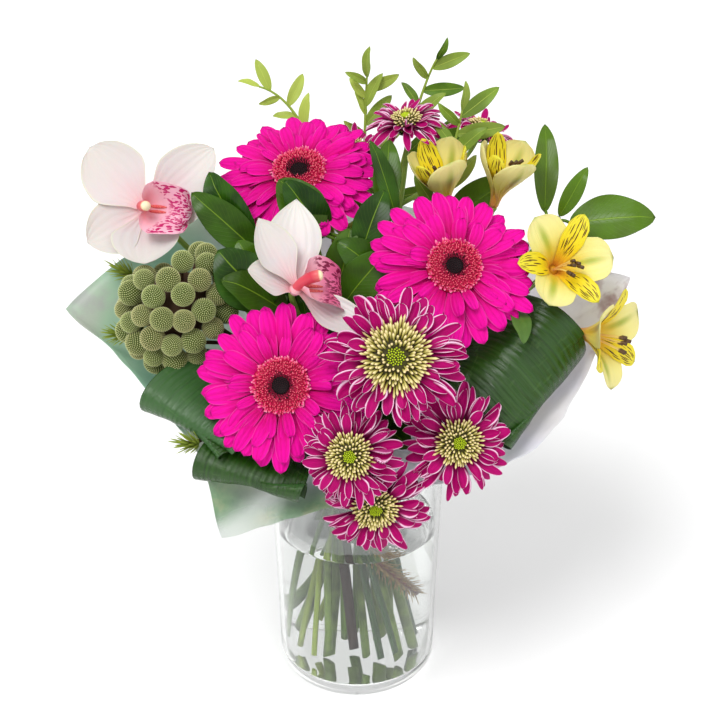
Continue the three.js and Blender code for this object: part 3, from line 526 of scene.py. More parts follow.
# %% Camera
CAMERA = {"at": (2.2, -1043.9, 851.9), "pitch": 30.0, "lens": 90.0}
lens = bpy.data.cameras.new("camera")
lens.lens, lens.sensor_width = CAMERA["lens"], 36.0
camera = bpy.data.objects.new("camera", lens)
camera.location = [v * MM for v in CAMERA["at"]]
camera.rotation_euler = (np.radians(90 - CAMERA["pitch"]), 0, 0)
bpy.context.scene.collection.objects.link(camera)
bpy.context.scene.camera = camera
bpy.context.scene.view_settings.view_transform = "Standard"

print("camera", [round(v, 3) for v in camera.location], "looks down by", CAMERA["pitch"], "degrees")

# %% [markdown]
# A photographer's light tent is a white room with wide lamps outside it. Here the white room is the
# world, and each lamp is a sun with a wide disc, whose shadows have edges as soft as through cloth. One
# is stronger and stands to the left and in front, and the other fills in from the right.

# %% World, lamps and floor
ROOM_LIGHT = 0.72
world = bpy.data.worlds.new("studio")
bpy.context.scene.world = world
world.use_nodes = True
walls = world.node_tree.nodes["Background"]
walls.inputs["Color"].default_value = (1.0, 1.0, 1.0, 1)
walls.inputs["Strength"].default_value = ROOM_LIGHT


def sun(name, energy, wide, tilt):
    """A lamp that lights evenly from one side: tilt is its turn about X, Y and Z in degrees."""
    lamp = bpy.data.lights.new(name, "SUN")
    lamp.energy, lamp.angle = energy, np.radians(wide)
    holder = bpy.data.objects.new(name, lamp)
    holder.rotation_euler = [np.radians(v) for v in tilt]
    bpy.context.scene.collection.objects.link(holder)


sun("key", 1.75, 28, (34, 0, -34))
sun("fill", 0.45, 50, (50, 0, 60))

floor_finish = Finish("pale_floor", base_color=(0.97, 0.97, 0.97, 1), roughness=0.9, specular_ior_level=0.1)
bpy.ops.mesh.primitive_plane_add(size=40)
floor = bpy.context.object
floor.name = "floor"
floor.data.materials.append(floor_finish.material)
print("lamps:", [lamp.name for lamp in bpy.data.lights], "and the room's light", ROOM_LIGHT)

# %% [markdown]
# ## Gerberas
#
# A gerbera is a composite flower: what look like petals are ray florets, in several layers round a disc
# of tiny tubular florets. A layer is one batch of blades, set evenly round the bloom with a little
# seeded disorder in length, lean and twist, so that no two match.

# %% A layer of rays round a bloom
chance = np.random.default_rng(7)


def petal_width(s, root, opens, rounds, wide_power, end_power):
    """The half width of a petal, from 0 to 1: it opens from its root's share up to where s is opens,
    and rounds off to nothing from where s is rounds."""
    end = np.clip(s - rounds, 0, 1) / (1 - rounds)
    return (root + (1 - root) * smooth(s / opens)) * np.clip(1 - end**wide_power, 0, 1) ** end_power


def ray_layer(count, inner, outer, z, rise=1.0, droop=1.0, wide=4.0, pointed=False, cup=0.6, turn=0.0,
              disorder=1.0, rows=15, thickness=0.55, columns=7, crease=0.0):
    """Rays at even bearings. With s from root to tip, a ray's middle is at radius inner + (outer -
    inner) s and height z + rise sin(pi s) - droop s^2. Its half width is that of a strap with a round
    end, or of a spearhead where pointed. cup lifts its edges and crease its middle line."""
    t = np.linspace(0, 1, rows)
    s = np.sin(t * PI / 2) * 0.35 + t * 0.65
    s[-1] = 1
    even = 2 * PI * (np.arange(count) + turn) / count
    out, tangent = around(even + chance.normal(0, 0.035 * disorder, count) * 20 / count)
    reach = outer * (1 + chance.normal(0, 0.028 * disorder, count))
    lean = chance.normal(0, 1.1 * disorder, (count, 1))
    sway = chance.normal(0, 1.2 * disorder, (count, 1))
    radius = inner + (reach[:, None] - inner) * s
    height = z + rise * np.sin(PI * s) - droop * s**2 + lean * s**2
    out, tangent = out[:, None], tangent[:, None]
    line = out * radius[..., None] + UP * height[..., None] + tangent * (sway * s**2)[..., None]
    twist = chance.normal(0, 0.16 * disorder, (count, 1)) * s
    twist = twist + chance.normal(0.0, 0.05 * disorder, (count, 1))
    side = across_of(line, tangent * np.cos(twist)[..., None] + UP * np.sin(twist)[..., None])
    spear, strap = (0.34, 0.66, 0.6, 2.2, 0.62), (0.42, 0.6, 0.66, 2.4, 0.5)
    shape = petal_width(s, *(spear if pointed else strap))
    half = wide * shape * (1 + chance.normal(0, 0.06 * disorder, (count, 1)))
    fold = cup * (1 + chance.normal(0, 0.5 * disorder, (count, 1, 1)))

    def lift(x):
        level = half[..., None] / wide
        return (fold * x**2 - crease * np.cos(3 * PI * x) * smooth(s * 3)[:, None]) * level

    return *blades(line, side, half, lift, thickness, columns), chance.uniform(0, 1, count)


print("the disorder comes from", chance, "with a fixed seed")

# %% [markdown]
# Three blooms stand in the bunch: one low in front, one higher to the right, and one behind them that
# looks nearly straight up. Each is given by its middle, the way it faces, the place where its stem
# crosses the tie (a bearing in degrees and a distance) and the height of the stem's cut end.

# %% The three gerberas
def records(fields, *rows):
    """One record for each row, under the names of the fields."""
    return [dict(zip(fields.split(), row)) for row in rows]


GERBERAS = records(
    "name at facing place foot",
    ("gerbera_front", (-47, -80, 277), (-0.05, -0.86, 0.5), (-105, 14.5), 16),
    ("gerbera_right", (62, -25, 332), (0.1, -0.68, 0.73), (-25, 7.6), 24),
    ("gerbera_left", (-38, 51, 364), (-0.1, -0.43, 0.9), (125, 7.6), 14),
)
print([bloom["name"] for bloom in GERBERAS])

# %% [markdown]
# A gerbera ray is a hot, even pink that deepens towards the disc, with long fine grooves and a satin
# gloss. The grooves follow the ray, so they come from how far across it a point lies, and their troughs
# are painted a deeper pink as painted shade. The clouds in the colour are noise stretched along it.

# %% The finish of gerbera rays
pink = Finish("gerbera_ray", roughness=0.55, specular_ior_level=0.12)
across, root_to_tip, upper = pink.marks()
deep = (198, 0, 94)
grain = pink.joined(across * 2.4 + pink.tint() * 31.0, root_to_tip * 0.7, pink.tint() * 7.0)
fibres = pink.noise(9.0, 3.0, 0.55, grain)
body = pink.mix(root_to_tip.step(0.8, 0.05), (245, 2, 164), deep)
body = pink.mix(fibres.step(0.5, 0.78) * 0.42, body, (250, 52, 192))
body = pink.mix((pink.tint() > 0.6) * 0.3, body, (248, 10, 160))
# Painted shade: the troughs of the grooves are painted the deeper root pink.
groove = ((across * 9.5).sin() * 0.5 + 0.5).step(0.5, 0.0) * 0.3
body = pink.mix(groove, body, deep)
rim = (across.size()).step(0.84, 1.0) * 0.3 + root_to_tip.step(0.95, 1.0) * 0.12
body = pink.mix(rim, body, (252, 120, 206))
body = pink.mix((1 - upper) * 0.7, body, (226, 60, 150))
pink.bump((across * 9.5).sin() * 0.5 + fibres, 0.0008, 0.75)
pink_ray = pink.set(base_color=body)

short = Finish("gerbera_inner_ray", roughness=0.55, specular_ior_level=0.25)
_, root_to_tip, _ = short.marks()
blush = short.ramp(root_to_tip, (0.0, 206, 8, 84), (0.5, 238, 34, 126), (1.0, 252, 166, 194))
inner_ray = short.set(base_color=blush)

# %% [markdown]
# Four layers lie over each other like tiles: the outer ones are long and droop, and the inner ones are
# short and stand up. A turned hub closes the bloom from below.

# %% The layers of rays of each bloom
LAYERS = records(
    "count inner outer z rise droop wide turn disorder",
    (25, 13, 53, -3.2, 0.8, 4.0, 6.0, 0.0, 1.4),
    (22, 12.6, 49, -2.0, 1.8, 1.8, 5.8, 0.5, 1.7),
    (17, 12.2, 42, -0.9, 2.4, 0.6, 5.2, 0.2, 2.2),
    (15, 12, 33, 0.0, 2.2, -0.4, 4.0, 0.7, 2.2),
)
HUB = [(0, -5.6), (13, -5.6), (16.5, -3.4), (16.5, -1.2), (14, 0.0), (0, 0.2)]
for bloom in GERBERAS:
    rays = Gathering(bloom)
    for layer in LAYERS:
        rays.add(*ray_layer(**layer, cup=-1.2, crease=0.42, columns=11))
    rays.add(lathe(HUB, 40))
    name = bloom["name"]
    make_piece(name + "_rays", rays, pink_ray, "satin_petal_magenta_pink", name + "_petals")

# %% [markdown]
# The disc is packed by the golden angle: floret k of n sits at radius R sqrt(k / n), turned by 137.5
# degrees from the last. That spacing keeps them even at any count, and it makes the spirals seen in
# real discs. The middle of a gerbera is nearly black, with a dense red fringe and pale tips round it.

# %% Florets set by the golden angle
GOLDEN = PI * (3 - 5**0.5)


def golden_places(count, inner, outer):
    """Bearings and radii of count florets between two radii, each with an equal share of the area."""
    k = np.arange(count) + 0.5
    return k * GOLDEN, np.sqrt(inner**2 + (outer**2 - inner**2) * k / count)


def florets(bearing, radius, height, length, tilt, thick, sides=6, rows=5, flare=1.25, curl=0.0):
    """Small tubes that stand on a disc. Each leans outwards by tilt from the bloom's axis and bends by
    curl on the way, and widens by flare at its end: point = root + s length (out sin a + up cos a)."""
    s = np.linspace(0, 1, rows)
    out, tangent = (way[:, None] for way in around(bearing))
    angle = tilt[:, None] + curl * s
    root = out * radius[:, None, None] + UP * height[:, None, None]
    way = out * np.sin(angle)[..., None] + UP * np.cos(angle)[..., None]
    line = root + way * (length[:, None] * s)[..., None]
    wide = thick * (0.8 + (flare - 0.8) * smooth(s * 1.1)) * np.ones((len(bearing), 1))
    wide[:, -1] *= 0.45
    mark = np.zeros((rows, sides, 3))
    mark[..., 1] = s[:, None]
    return tubes(line, wide, sides, tangent), mark


print("the 400th of 400 florets is", golden_places(400, 6.6, 15.8)[1][-1].round(2), "mm from the middle")

# %% [markdown]
# A floret's colour runs from its root to its tip, from deep red to salmon. In the middle of the disc the
# florets are still shut and nearly black: the tint of a floret holds how far out it stands.

# %% The finish of the disc
eye = Finish("gerbera_eye", roughness=0.6, specular_ior_level=0.3)
_, root_to_tip, _ = eye.marks()
from_middle = eye.tint()
fringe = eye.ramp(
    root_to_tip, (0.0, 170, 2, 58), (0.5, 208, 8, 80), (0.8, 236, 72, 112), (1.0, 252, 184, 172))
dark = eye.ramp(root_to_tip, (0.0, 14, 2, 8), (0.8, 34, 6, 16), (1.0, 86, 22, 30))
eye_finish = eye.set(base_color=eye.mix(from_middle.step(0.38, 0.44), dark, fringe))

# %% [markdown]
# The disc is a low dome with a sunken, dark middle. Over it stand 400 open florets and 120 shut ones,
# each a tube of a few faces, and two rings of short pointed rays stand round it.

# %% The disc and its fringe
DISC = [(0, 0.3), (16.5, 0.3), (18.2, 0.9), (17, 2.0), (13, 3.0), (9, 3.2), (6, 2.6), (0, 2.2)]
PIT = [(0, 2.0), (5.6, 2.9), (5.4, 3.3), (4, 3.0), (0, 2.7)]
DISC_EDGE, OPEN, SHUT = 18.4, 400, 120
for bloom in GERBERAS:
    disc = Gathering(bloom)
    disc.add(lathe(DISC, 48), mark=(0, 0.2, 1), tint=0.7)
    disc.add(lathe(PIT, 28), mark=(0, 0, 1), tint=0.1)
    bearing, radius = golden_places(OPEN, 6.6, 15.8)
    share = radius / DISC_EDGE
    bearing = bearing + chance.normal(0, 0.03, OPEN)
    length = 3.2 + chance.uniform(-0.7, 0.9, OPEN)
    tilt = 0.1 + 1.0 * share**2 + chance.normal(0, 0.22, OPEN)
    grid, mark = florets(bearing, radius, 3.0 - 2.0 * share**6, length, tilt, 0.42, 5, 4, 1.1)
    disc.add(grid, mark, share + chance.normal(0, 0.06, OPEN))
    bearing, radius = golden_places(SHUT, 0.0, 7.6)
    share = radius / DISC_EDGE
    length, tilt = 1.7 + 3.2 * share, -0.1 + 0 * share
    grid, mark = florets(bearing, radius, 2.3 + 0.1 * share, length, tilt, 0.5, 5, 4, 0.8)
    disc.add(grid, mark, share)
    name = bloom["name"]
    make_piece(name + "_eye", disc, eye_finish, "floret_disc_dark_red", name + "_disc")

    ring = Gathering(bloom)
    for count, outer, z, droop in ((46, 18.6, 1.2, -1.6), (40, 17.2, 1.9, -2.2)):
        layer = ray_layer(count, 14.5, outer, z, 0.8, droop, wide=0.8, pointed=True, cup=0.2, rows=7,
                          columns=5, thickness=0.4, disorder=1.4, turn=chance.uniform())
        ring.add(*layer)
    make_piece(name + "_fringe", ring, inner_ray, "floret_disc_dark_red")

# %% [markdown]
# ## Chrysanthemums
#
# The spray chrysanthemums have spear-shaped rays, purple with a white-pink edge, and a cushion of cream
# tubes round a lime green button. The edge is only colour, the tubes are real florets.

# %% The finish of chrysanthemum rays
purple = Finish("chrysanthemum_ray", roughness=0.55, specular_ior_level=0.12)
across, root_to_tip, upper = purple.marks()
grain = purple.joined(across * 2.0 + purple.tint() * 23.0, root_to_tip * 0.6, purple.tint() * 9.0)
fibres = purple.noise(8.0, 3.0, 0.5, grain)
body = purple.mix(fibres, (106, 0, 56), (214, 0, 128))
body = purple.mix(root_to_tip.step(0.55, 0.1) * 0.75, body, (66, 0, 36))
edge = (across.size() + (fibres - 0.5) * 0.1).step(0.77, 0.91)
tip = (root_to_tip + (fibres - 0.5) * 0.03).step(0.955, 0.985)
edge = purple.node("ShaderNodeMath", {0: edge, 1: tip}, operation="MAXIMUM")
body = purple.mix(edge * root_to_tip.step(0.25, 0.5), body, (250, 205, 232))
body = purple.mix((1 - upper) * 0.7, body, (180, 60, 128))
purple.bump((across * 8.0).sin() * 0.4 + fibres, 0.0005, 0.5)
purple_ray = purple.set(base_color=body)

# %% [markdown]
# The cushion's tubes are painted dark olive at their roots, a painted shade for the gaps between them,
# and are cream above and a little pink at their mouths. The youngest ones in the middle are lime green.

# %% The finish of chrysanthemum florets
cushion = Finish("chrysanthemum_florets", roughness=0.55, specular_ior_level=0.3)
_, root_to_tip, _ = cushion.marks()
from_middle = cushion.tint()
button = cushion.ramp(root_to_tip, (0.0, 96, 128, 6), (1.0, 206, 226, 40))
# Painted shade: the dark olive at the tubes' roots, which the dome under them also takes, stands for the
# shade in the gaps between the tubes.
tube_colour = cushion.ramp(
    root_to_tip, (0.0, 64, 58, 10), (0.45, 184, 174, 84), (0.85, 240, 226, 164), (1.0, 250, 206, 168))
cushion_finish = cushion.set(base_color=cushion.mix(from_middle.step(0.24, 0.34), button, tube_colour))

# %% [markdown]
# Seven heads grow on two spray stems: four in front, which hang over the wrap, and three at the back.
# They differ only in place, size and the width of the cushion, so one loop makes them: three layers of
# spears that droop less and less, and over them the cushion of tubes and its green button.

# %% The places of the seven chrysanthemums
CHRYSANTHEMUMS = records(
    "name at facing size disc",
    ("chrysanthemum_upper", (24, -90, 303), (0, -0.82, 0.57), 43, 25),
    ("chrysanthemum_left", (-4, -110, 244), (-0.08, -0.9, 0.4), 33, 17),
    ("chrysanthemum_right", (64, -93, 243), (0.15, -0.9, 0.42), 36, 17),
    ("chrysanthemum_lower", (12, -108, 204), (0.02, -0.99, 0.02), 36, 17),
    ("chrysanthemum_back_a", (33, 82, 388), (-0.1, -0.15, 0.99), 26, 12),
    ("chrysanthemum_back_b", (86, 106, 372), (0.35, 0.05, 0.93), 25, 12),
    ("chrysanthemum_back_c", (-2, 91, 362), (0, -0.3, 0.95), 25, 12),
)
LARGEST, LARGEST_DISC, SMALL = 43, 25, 30
print("radii of the heads:", [bloom["size"] for bloom in CHRYSANTHEMUMS])

# %% [markdown]
# The tubes lean out more towards the edge of the cushion and are longer there. The sizes of tubes and
# spears grow less than the head does, so they follow powers below one of its size.

# %% The seven chrysanthemums
for bloom in CHRYSANTHEMUMS:
    name, size, disc = bloom["name"], bloom["size"], bloom["disc"]
    wide, fewer = 4.0 * (size / LARGEST) ** 0.8, 0.8 if size < SMALL else 1.0
    rays = Gathering(bloom)
    for count, share, z, droop in ((22, 1.0, -2.6, 4.5), (21, 0.9, -1.6, 0.5), (16, 0.76, -0.6, -3.5)):
        layer = ray_layer(int(count * fewer), 0.6 * disc, size * share, z, 1.2, droop, wide=wide,
                          pointed=True, cup=1.9 * wide / 4.3, disorder=2.3, turn=share * 9, rows=13)
        rays.add(*layer)
    hub = [(0, -4.4), (0.6 * disc, -4.4), (0.85 * disc, -2.6), (0.85 * disc, -0.6), (0, 0.2)]
    rays.add(lathe(hub, 36), mark=(0, 0.1, 1))
    make_piece(name + "_spears", rays, purple_ray, "petal_purple_with_pale_edges", name + "_rays")

    pad = Gathering(bloom)
    dome = [(0, -0.2), (0.72 * disc, -0.2), (0.68 * disc, 0.8), (0.5 * disc, 2.2), (0.2 * disc, 3.0),
            (0, 2.6)]
    pad.add(lathe(dome, 40), mark=(0, 0, 0), tint=0.5)
    grown = disc / LARGEST_DISC
    many = int(180 * grown**0.9)
    bearing, radius = golden_places(many, 0.25 * disc, 0.66 * disc)
    share = (radius / disc - 0.25) / 0.41
    length = disc * (0.25 + 0.1 * share) * (1 + chance.normal(0, 0.17, many))
    tilt = 0.25 + 1.05 * share + chance.normal(0, 0.2, many)
    height, thick = 2.8 - 2.6 * share**2, 0.62 * grown**0.4
    grid, mark = florets(bearing, radius, height, length, tilt, thick, 6, 6, 1.35, 0.12)
    pad.add(grid, mark, 0.4 + 0.6 * share)
    bearing, radius = golden_places(46, 0, 0.22 * disc)
    share = radius / disc
    height, length, thick = 2.2 - 1.2 * share, 2.4 + 1.6 * share, 0.62 * grown**0.6
    grid, mark = florets(bearing, radius, height, length, 0.9 * share, thick, 5, 4, 1.1)
    pad.add(grid, mark, share)
    slot = "floret_disc_cream_yellow_and_green"
    make_piece(name + "_cushion", pad, cushion_finish, slot, name + "_florets")

# %% [markdown]
# ## Stems
#
# The bunch is tied in a spiral: every stem crosses the tie at its own place and stands out from it on
# the other side, all turned the same way. So a stem is a straight leg from its cut end to the tie, and
# then one smooth curve that comes up behind its flower.

# %% The line of a stem
TIE_HEIGHT, SPIRAL_TURN, SPIRAL_SPREAD = 190.0, 72.0, 1.95


def ring_point(bearing, distance, height):
    """A point at a bearing in degrees and a distance from the middle of the bunch."""
    angle = np.radians(bearing)
    return np.array([distance * np.cos(angle), distance * np.sin(angle), height])


def stem_line(place, foot, head, facing, lead=30.0, bend=30.0):
    """Leg and curve as one line, and the curve alone for what branches from it. The curve leaves the
    tie in the leg's direction for the length bend, and comes up to the head over the length lead."""
    tie = ring_point(*place, TIE_HEIGHT)
    cut = ring_point(place[0] + SPIRAL_TURN, place[1] * SPIRAL_SPREAD, foot)
    head = np.asarray(head, float)
    leg = cut + (tie - cut) * np.linspace(0, 1, 16)[:, None]
    upper = bezier(tie, tie + bend * unit(tie - cut), head - lead * unit(facing), head, 44)
    return np.vstack([leg[:-1], upper]), upper


def on(line, share):
    """The point of a line at a share of its steps."""
    at = share * (len(line) - 1)
    i = min(int(at), len(line) - 2)
    return line[i] + (line[i + 1] - line[i]) * (at - i)


print("the tie is", TIE_HEIGHT, "mm up, and a stem at bearing 0 is cut at bearing", SPIRAL_TURN)

# %% [markdown]
# Florists cut a stem at a slant so that it drinks well: the points of its first rings are moved along
# it by how far they lie to one side. Side shoots are short curves, and green stems have shallow ribs.

# %% Stems and shoots
def add_tube(gathered, line, radius, sides=12, relief=None, tint=0.5, bloom=None, slant=0.0):
    """A closed tube along a line. slant cuts its first end at an angle."""
    line, radius = capped(line, radius)
    grid = tubes(line, radius, sides, relief=relief)
    if slant:
        tangent = unit(line[2] - line[0])
        side = grid[1, 0] - line[1]
        grid[:3] += tangent * (((grid[:3] - line[:3, None]) @ unit(side)) * slant)[..., None]
    mark = np.zeros((len(line), sides, 3))
    mark[..., 0] = np.linspace(0, 1, sides, endpoint=False)
    mark[..., 1] = np.linspace(0, 1, len(line))[:, None]
    gathered.add(grid, mark, tint, bloom=bloom)


def behind(bloom, depth):
    """The point at a depth behind a bloom's middle."""
    return seated([(0, 0, -depth)], bloom)[0]


def shoot(start, by, end, count=18):
    """A side shoot: the curve that leaves towards a point by the way."""
    return bezier(start, start + (by - start) * 0.66, end + (by - end) * 0.66, end, count)


def ribbed(a, s):
    """Six shallow ribs along a stem."""
    return 1 + 0.035 * np.cos(6 * a)


print("the front gerbera's stem ends at", behind(GERBERAS[0], 12).round(1).tolist())

# %% [markdown]
# Green stems are smooth with fine pale streaks along them, and the bracts, which have a high tint, are
# darker. Brunia's stem is woody, so its bark is noise that is stretched along it and also raises the
# surface. Both are painted darker from the tie down into the water, as painted shade in the vase.

# %% The finishes of stems
SHADE_FROM, SHADE_FULL = 200, 110

green = Finish("stem_green", roughness=0.42, specular_ior_level=0.35)
across, root_to_tip, _ = green.marks()
streaks = green.noise(1.0, 4.0, 0.6, green.joined(across * 12.0, root_to_tip * 3.0, green.tint() * 11))
mottle = green.noise(60.0, 4.0)
body = green.mix(streaks, (98, 138, 44), (168, 198, 92))
body = green.mix(mottle.step(0.45, 0.7) * 0.4, body, (84, 116, 40))
# Painted shade: the stems darken in blotches from the tie down into the water, where they stand in the vase.
shade_in_vase = green.millimetres()[2].step(SHADE_FROM, SHADE_FULL) * (0.35 + mottle.step(0.3, 0.7) * 0.35)
body = green.mix(shade_in_vase, body, (34, 52, 14))
green.bump(streaks, 0.0006, 0.5)
green_stem = green.set(base_color=green.mix((green.tint() > 0.75) * 0.75, body, (44, 84, 26)))

brown = Finish("stem_brown", roughness=0.7, specular_ior_level=0.2)
across, root_to_tip, _ = brown.marks()
bark = brown.noise(1.0, 5.0, 0.6, brown.joined(across * 9.0, root_to_tip * 22.0, brown.tint() * 9))
wood = brown.mix(bark, (40, 26, 20), (104, 74, 52))
# Painted shade: the wood darkens from the tie down into the water.
wood = brown.mix(brown.millimetres()[2].step(SHADE_FROM, SHADE_FULL) * 0.8, wood, (26, 12, 8))
needle = brown.mix(root_to_tip, (104, 126, 34), (164, 182, 70))
brown.bump(bark, 0.0008, 0.7)
brown_stem = brown.set(base_color=brown.mix(brown.tint() > 0.75, wood, needle))

# %% [markdown]
# Under each composite bloom sits a green cup, the involucre. It is a turned profile with two rings of
# small pointed bracts, and the same rule as for the rays makes them. A gerbera stands alone on a thick
# ribbed stem.

# %% The cup under a bloom, and the stems of gerberas
def cup_of(gathered, bloom, width, depth, low, bracts):
    """The green cup under a bloom: a turned profile and two rings of small pointed bracts on it."""
    profile = [(0, low - depth), (width * 0.32, low - depth), (width * 0.62, low - depth * 0.72),
               (width * 0.94, low - depth * 0.2), (width, low), (0, low + 0.2)]
    gathered.add(lathe(profile, 28), mark=(0.3, 0.5, 1), tint=0.4, bloom=bloom)
    for turn, reach in ((0.0, 1.28), (0.5, 1.12)):
        grid, mark, _ = ray_layer(bracts, width * 0.5, width * reach, low - depth * 0.72, 0.0, -depth * 0.62,
                                  wide=width * 0.17, pointed=True, cup=0.2, turn=turn, rows=7, columns=5,
                                  thickness=0.6)
        gathered.add(grid, mark * [0.2, 1, 1], 0.9, bloom=bloom)


for bloom in GERBERAS:
    stem = Gathering()
    line, _ = stem_line(bloom["place"], bloom["foot"], behind(bloom, 12), bloom["facing"])
    add_tube(stem, line, np.linspace(3.0, 2.5, len(line)), 16, ribbed, tint=0.3, slant=0.8)
    cup_of(stem, bloom, 12.5, 9.5, -6.0, 22)
    make_piece(bloom["name"] + "_stalk", stem, green_stem, "green_stem", bloom["name"] + "_stem")

# %% [markdown]
# A spray chrysanthemum has one main stem, and thinner side shoots that leave it one after another. Each
# shoot starts on the main stem's curve at a given share of it and comes up behind its own head.

# %% The stems of chrysanthemums
def spray(name, blooms, place, foot, radius, forks):
    """A stem that forks to several heads, each with its cup."""
    stem = Gathering()
    first, *others = blooms
    line, upper = stem_line(place, foot, behind(first, 9), first["facing"])
    add_tube(stem, line, np.linspace(radius * 1.1, radius * 0.8, len(line)), 14, ribbed, tint=0.2, slant=-0.7)
    for fork, bloom in zip(forks, others):
        side_shoot = shoot(on(upper, fork), behind(bloom, 34), behind(bloom, 9))
        thick = np.linspace(radius * 0.85, radius * 0.62, len(side_shoot))
        add_tube(stem, side_shoot, thick, 10, ribbed, tint=0.3)
    for bloom in blooms:
        cup_of(stem, bloom, bloom["disc"] * 0.62, 6, -4.5, 16)
    make_piece(name + "_stalk", stem, green_stem, "green_stem", name + "_stem")


spray("chrysanthemum_front", CHRYSANTHEMUMS[:4], (-72, 14.6), 15, 2.5, (0.35, 0.4, 0.3))
spray("chrysanthemum_back", CHRYSANTHEMUMS[4:], (78, 14.6), 24, 2.2, (0.7, 0.7))

# %% [markdown]
# ## Orchids
#
# A cymbidium has five waxy tepals and a lip. The lip is a trough whose sides stand up round the column
# and whose broad end turns down with a ruffled edge; two yellow ridges run along it. The spots on it are
# cells whose density rises towards the end, and the tepals are nearly white with a breath of pink.

# %% The finish of orchid tepals
WAXY = {"specular_ior_level": 0.4, "subsurface_weight": 0.12, "subsurface_scale": 0.004}

wax = Finish("orchid_tepal", roughness=0.34, **WAXY)
across, root_to_tip, upper = wax.marks()
veins = wax.noise(5.0, 3.0, 0.6, wax.joined(across * 3.0, root_to_tip * 0.4, wax.tint() * 9.0))
body = wax.ramp(
    root_to_tip, (0.0, 236, 170, 178), (0.16, 220, 198, 198), (0.4, 215, 207, 206), (1.0, 216, 212, 205))
flush = (1 - across.size()).step(0.45, 1.0) * root_to_tip.step(0.8, 0.25) * 0.16 + (1 - upper) * 0.1
body = wax.mix(flush * (veins + 0.4), body, (238, 168, 182))
body = wax.mix(across.size().step(0.9, 1.0) * 0.4, body, (232, 236, 196))
wax.bump((across * 22.0).sin() * 0.4 + veins, 0.0006, 0.3)
tepal_finish = wax.set(base_color=body)

# %% [markdown]
# One finish serves the lip, the column over it and the two ridges, and the tint tells them apart, as it
# does the paler lip from the deep pink one. The spots are cells whose edges are bent by noise.

# %% The finish of the lip
SOFT = {"subsurface_weight": 0.08, "subsurface_scale": 0.003}

spotted = Finish("orchid_lip", roughness=0.36, specular_ior_level=0.4, **SOFT)
across, root_to_tip, upper = spotted.marks()
from_rib, kind = across.size(), spotted.tint()
cell_place = spotted.joined(across * 8.5, root_to_tip * 9.5, 0.0)
wobble = spotted.noise(2.2, 3.0, vector=cell_place)
spots = (spotted.cells(1.6, cell_place) + (wobble - 0.5) * 0.7).step(0.56, 0.46)
spots = spots * (root_to_tip + (from_rib - 0.5) * 0.25).step(0.34, 0.5) * (1 - from_rib.step(0.93, 1.0))
ground = spotted.ramp(
    root_to_tip, (0.0, 236, 150, 160), (0.35, 234, 176, 190), (0.7, 232, 156, 182), (1.0, 238, 206, 214))
ground = spotted.mix(from_rib.step(0.6, 0.95) * 0.5, ground, (250, 200, 216))
ground = spotted.mix((kind > 0.2) * root_to_tip.step(0.25, 0.6) * 0.8, ground, (208, 52, 122))
lip_colour = spotted.mix(spots, ground, spotted.mix(kind > 0.2, (186, 0, 98), (120, 0, 58)))
column_colour = spotted.ramp(
    root_to_tip, (0.0, 226, 92, 104), (0.7, 206, 52, 74), (0.86, 222, 104, 104), (0.9, 252, 232, 190),
    (1.0, 255, 240, 205))
ridge_colour = spotted.mix(wobble.step(0.3, 0.6), (232, 150, 110), (206, 40, 80))
body = spotted.mix(kind > 0.4, lip_colour, column_colour)
lip_finish = spotted.set(base_color=spotted.mix(kind > 0.8, body, ridge_colour))

# %% [markdown]
# A tepal is a broad blade that swells slowly and ends in a blunt point, thick and a little cupped, with
# the finest wave along its edge. Its root lies 1.5 mm from the middle of the bloom.

# %% The shape of a tepal
def tepal(bearing, length, half, z, lift, cup, twist, acute, rows=26):
    """A tepal from the middle out: height z + lift s^2 + 0.6 sin(pi s), its edges raised by cup x^2 and
    waved a little towards the end. Its outline swells slowly and ends in a blunt point. twist turns
    its side out of the level of the bloom, in degrees, and acute draws its end to a point."""
    s = np.linspace(0, 1, rows) ** 0.9
    out, tangent = around(np.radians(bearing))
    height = z + lift * s**2 + 0.6 * np.sin(PI * s)
    line = out * (1.5 + (length - 1.5) * s)[:, None] + UP * height[:, None]
    turn = np.radians(twist) * smooth(s * 2)[:, None]
    side = across_of(line, tangent * np.cos(turn) + UP * np.sin(turn))
    shape = petal_width(s, 0.22, 0.5, 0.48, 2.4, 0.6 + acute)
    wave = 0.7 * np.sin(7 * s + bearing)[:, None] * smooth(s * 1.6)[:, None]

    def edge(x):
        rib = 0.35 * bell(x, 0.12) * (s[:, None] - 1)
        return (cup * x**2 + wave * x**4 * np.sign(x) + rib) * shape[:, None]

    return blades(line, side, half * shape, edge, 1.0, 15)


trial = tepal(0, 50, 20, 0, 5, 2, 0, 0)[0]
print("a tepal 50 long and 20 in half width spans", np.ptp(trial.reshape(-1, 3), axis=0).round(1).tolist())

# %% [markdown]
# A lip can't be a flat blade: its sides stand up as lobes and its end is ruffled, so the height across
# it is a power of the distance from its middle, and its width comes from a few stops.

# %% The shape of the lip
LIP_LINE = [(0, -1, 2.6), (0, -4, 3.4), (0, -10, 5.4), (0, -17, 8.4), (0, -24, 10.0), (0, -29, 8.4),
            (0, -32, 5.0)]
LIP_STOPS = [0, 0.08, 0.2, 0.36, 0.5, 0.66, 0.8, 0.92, 1]
LIP_WIDTHS = [0.24, 0.5, 0.84, 1.0, 0.98, 0.9, 0.78, 0.5, 0]


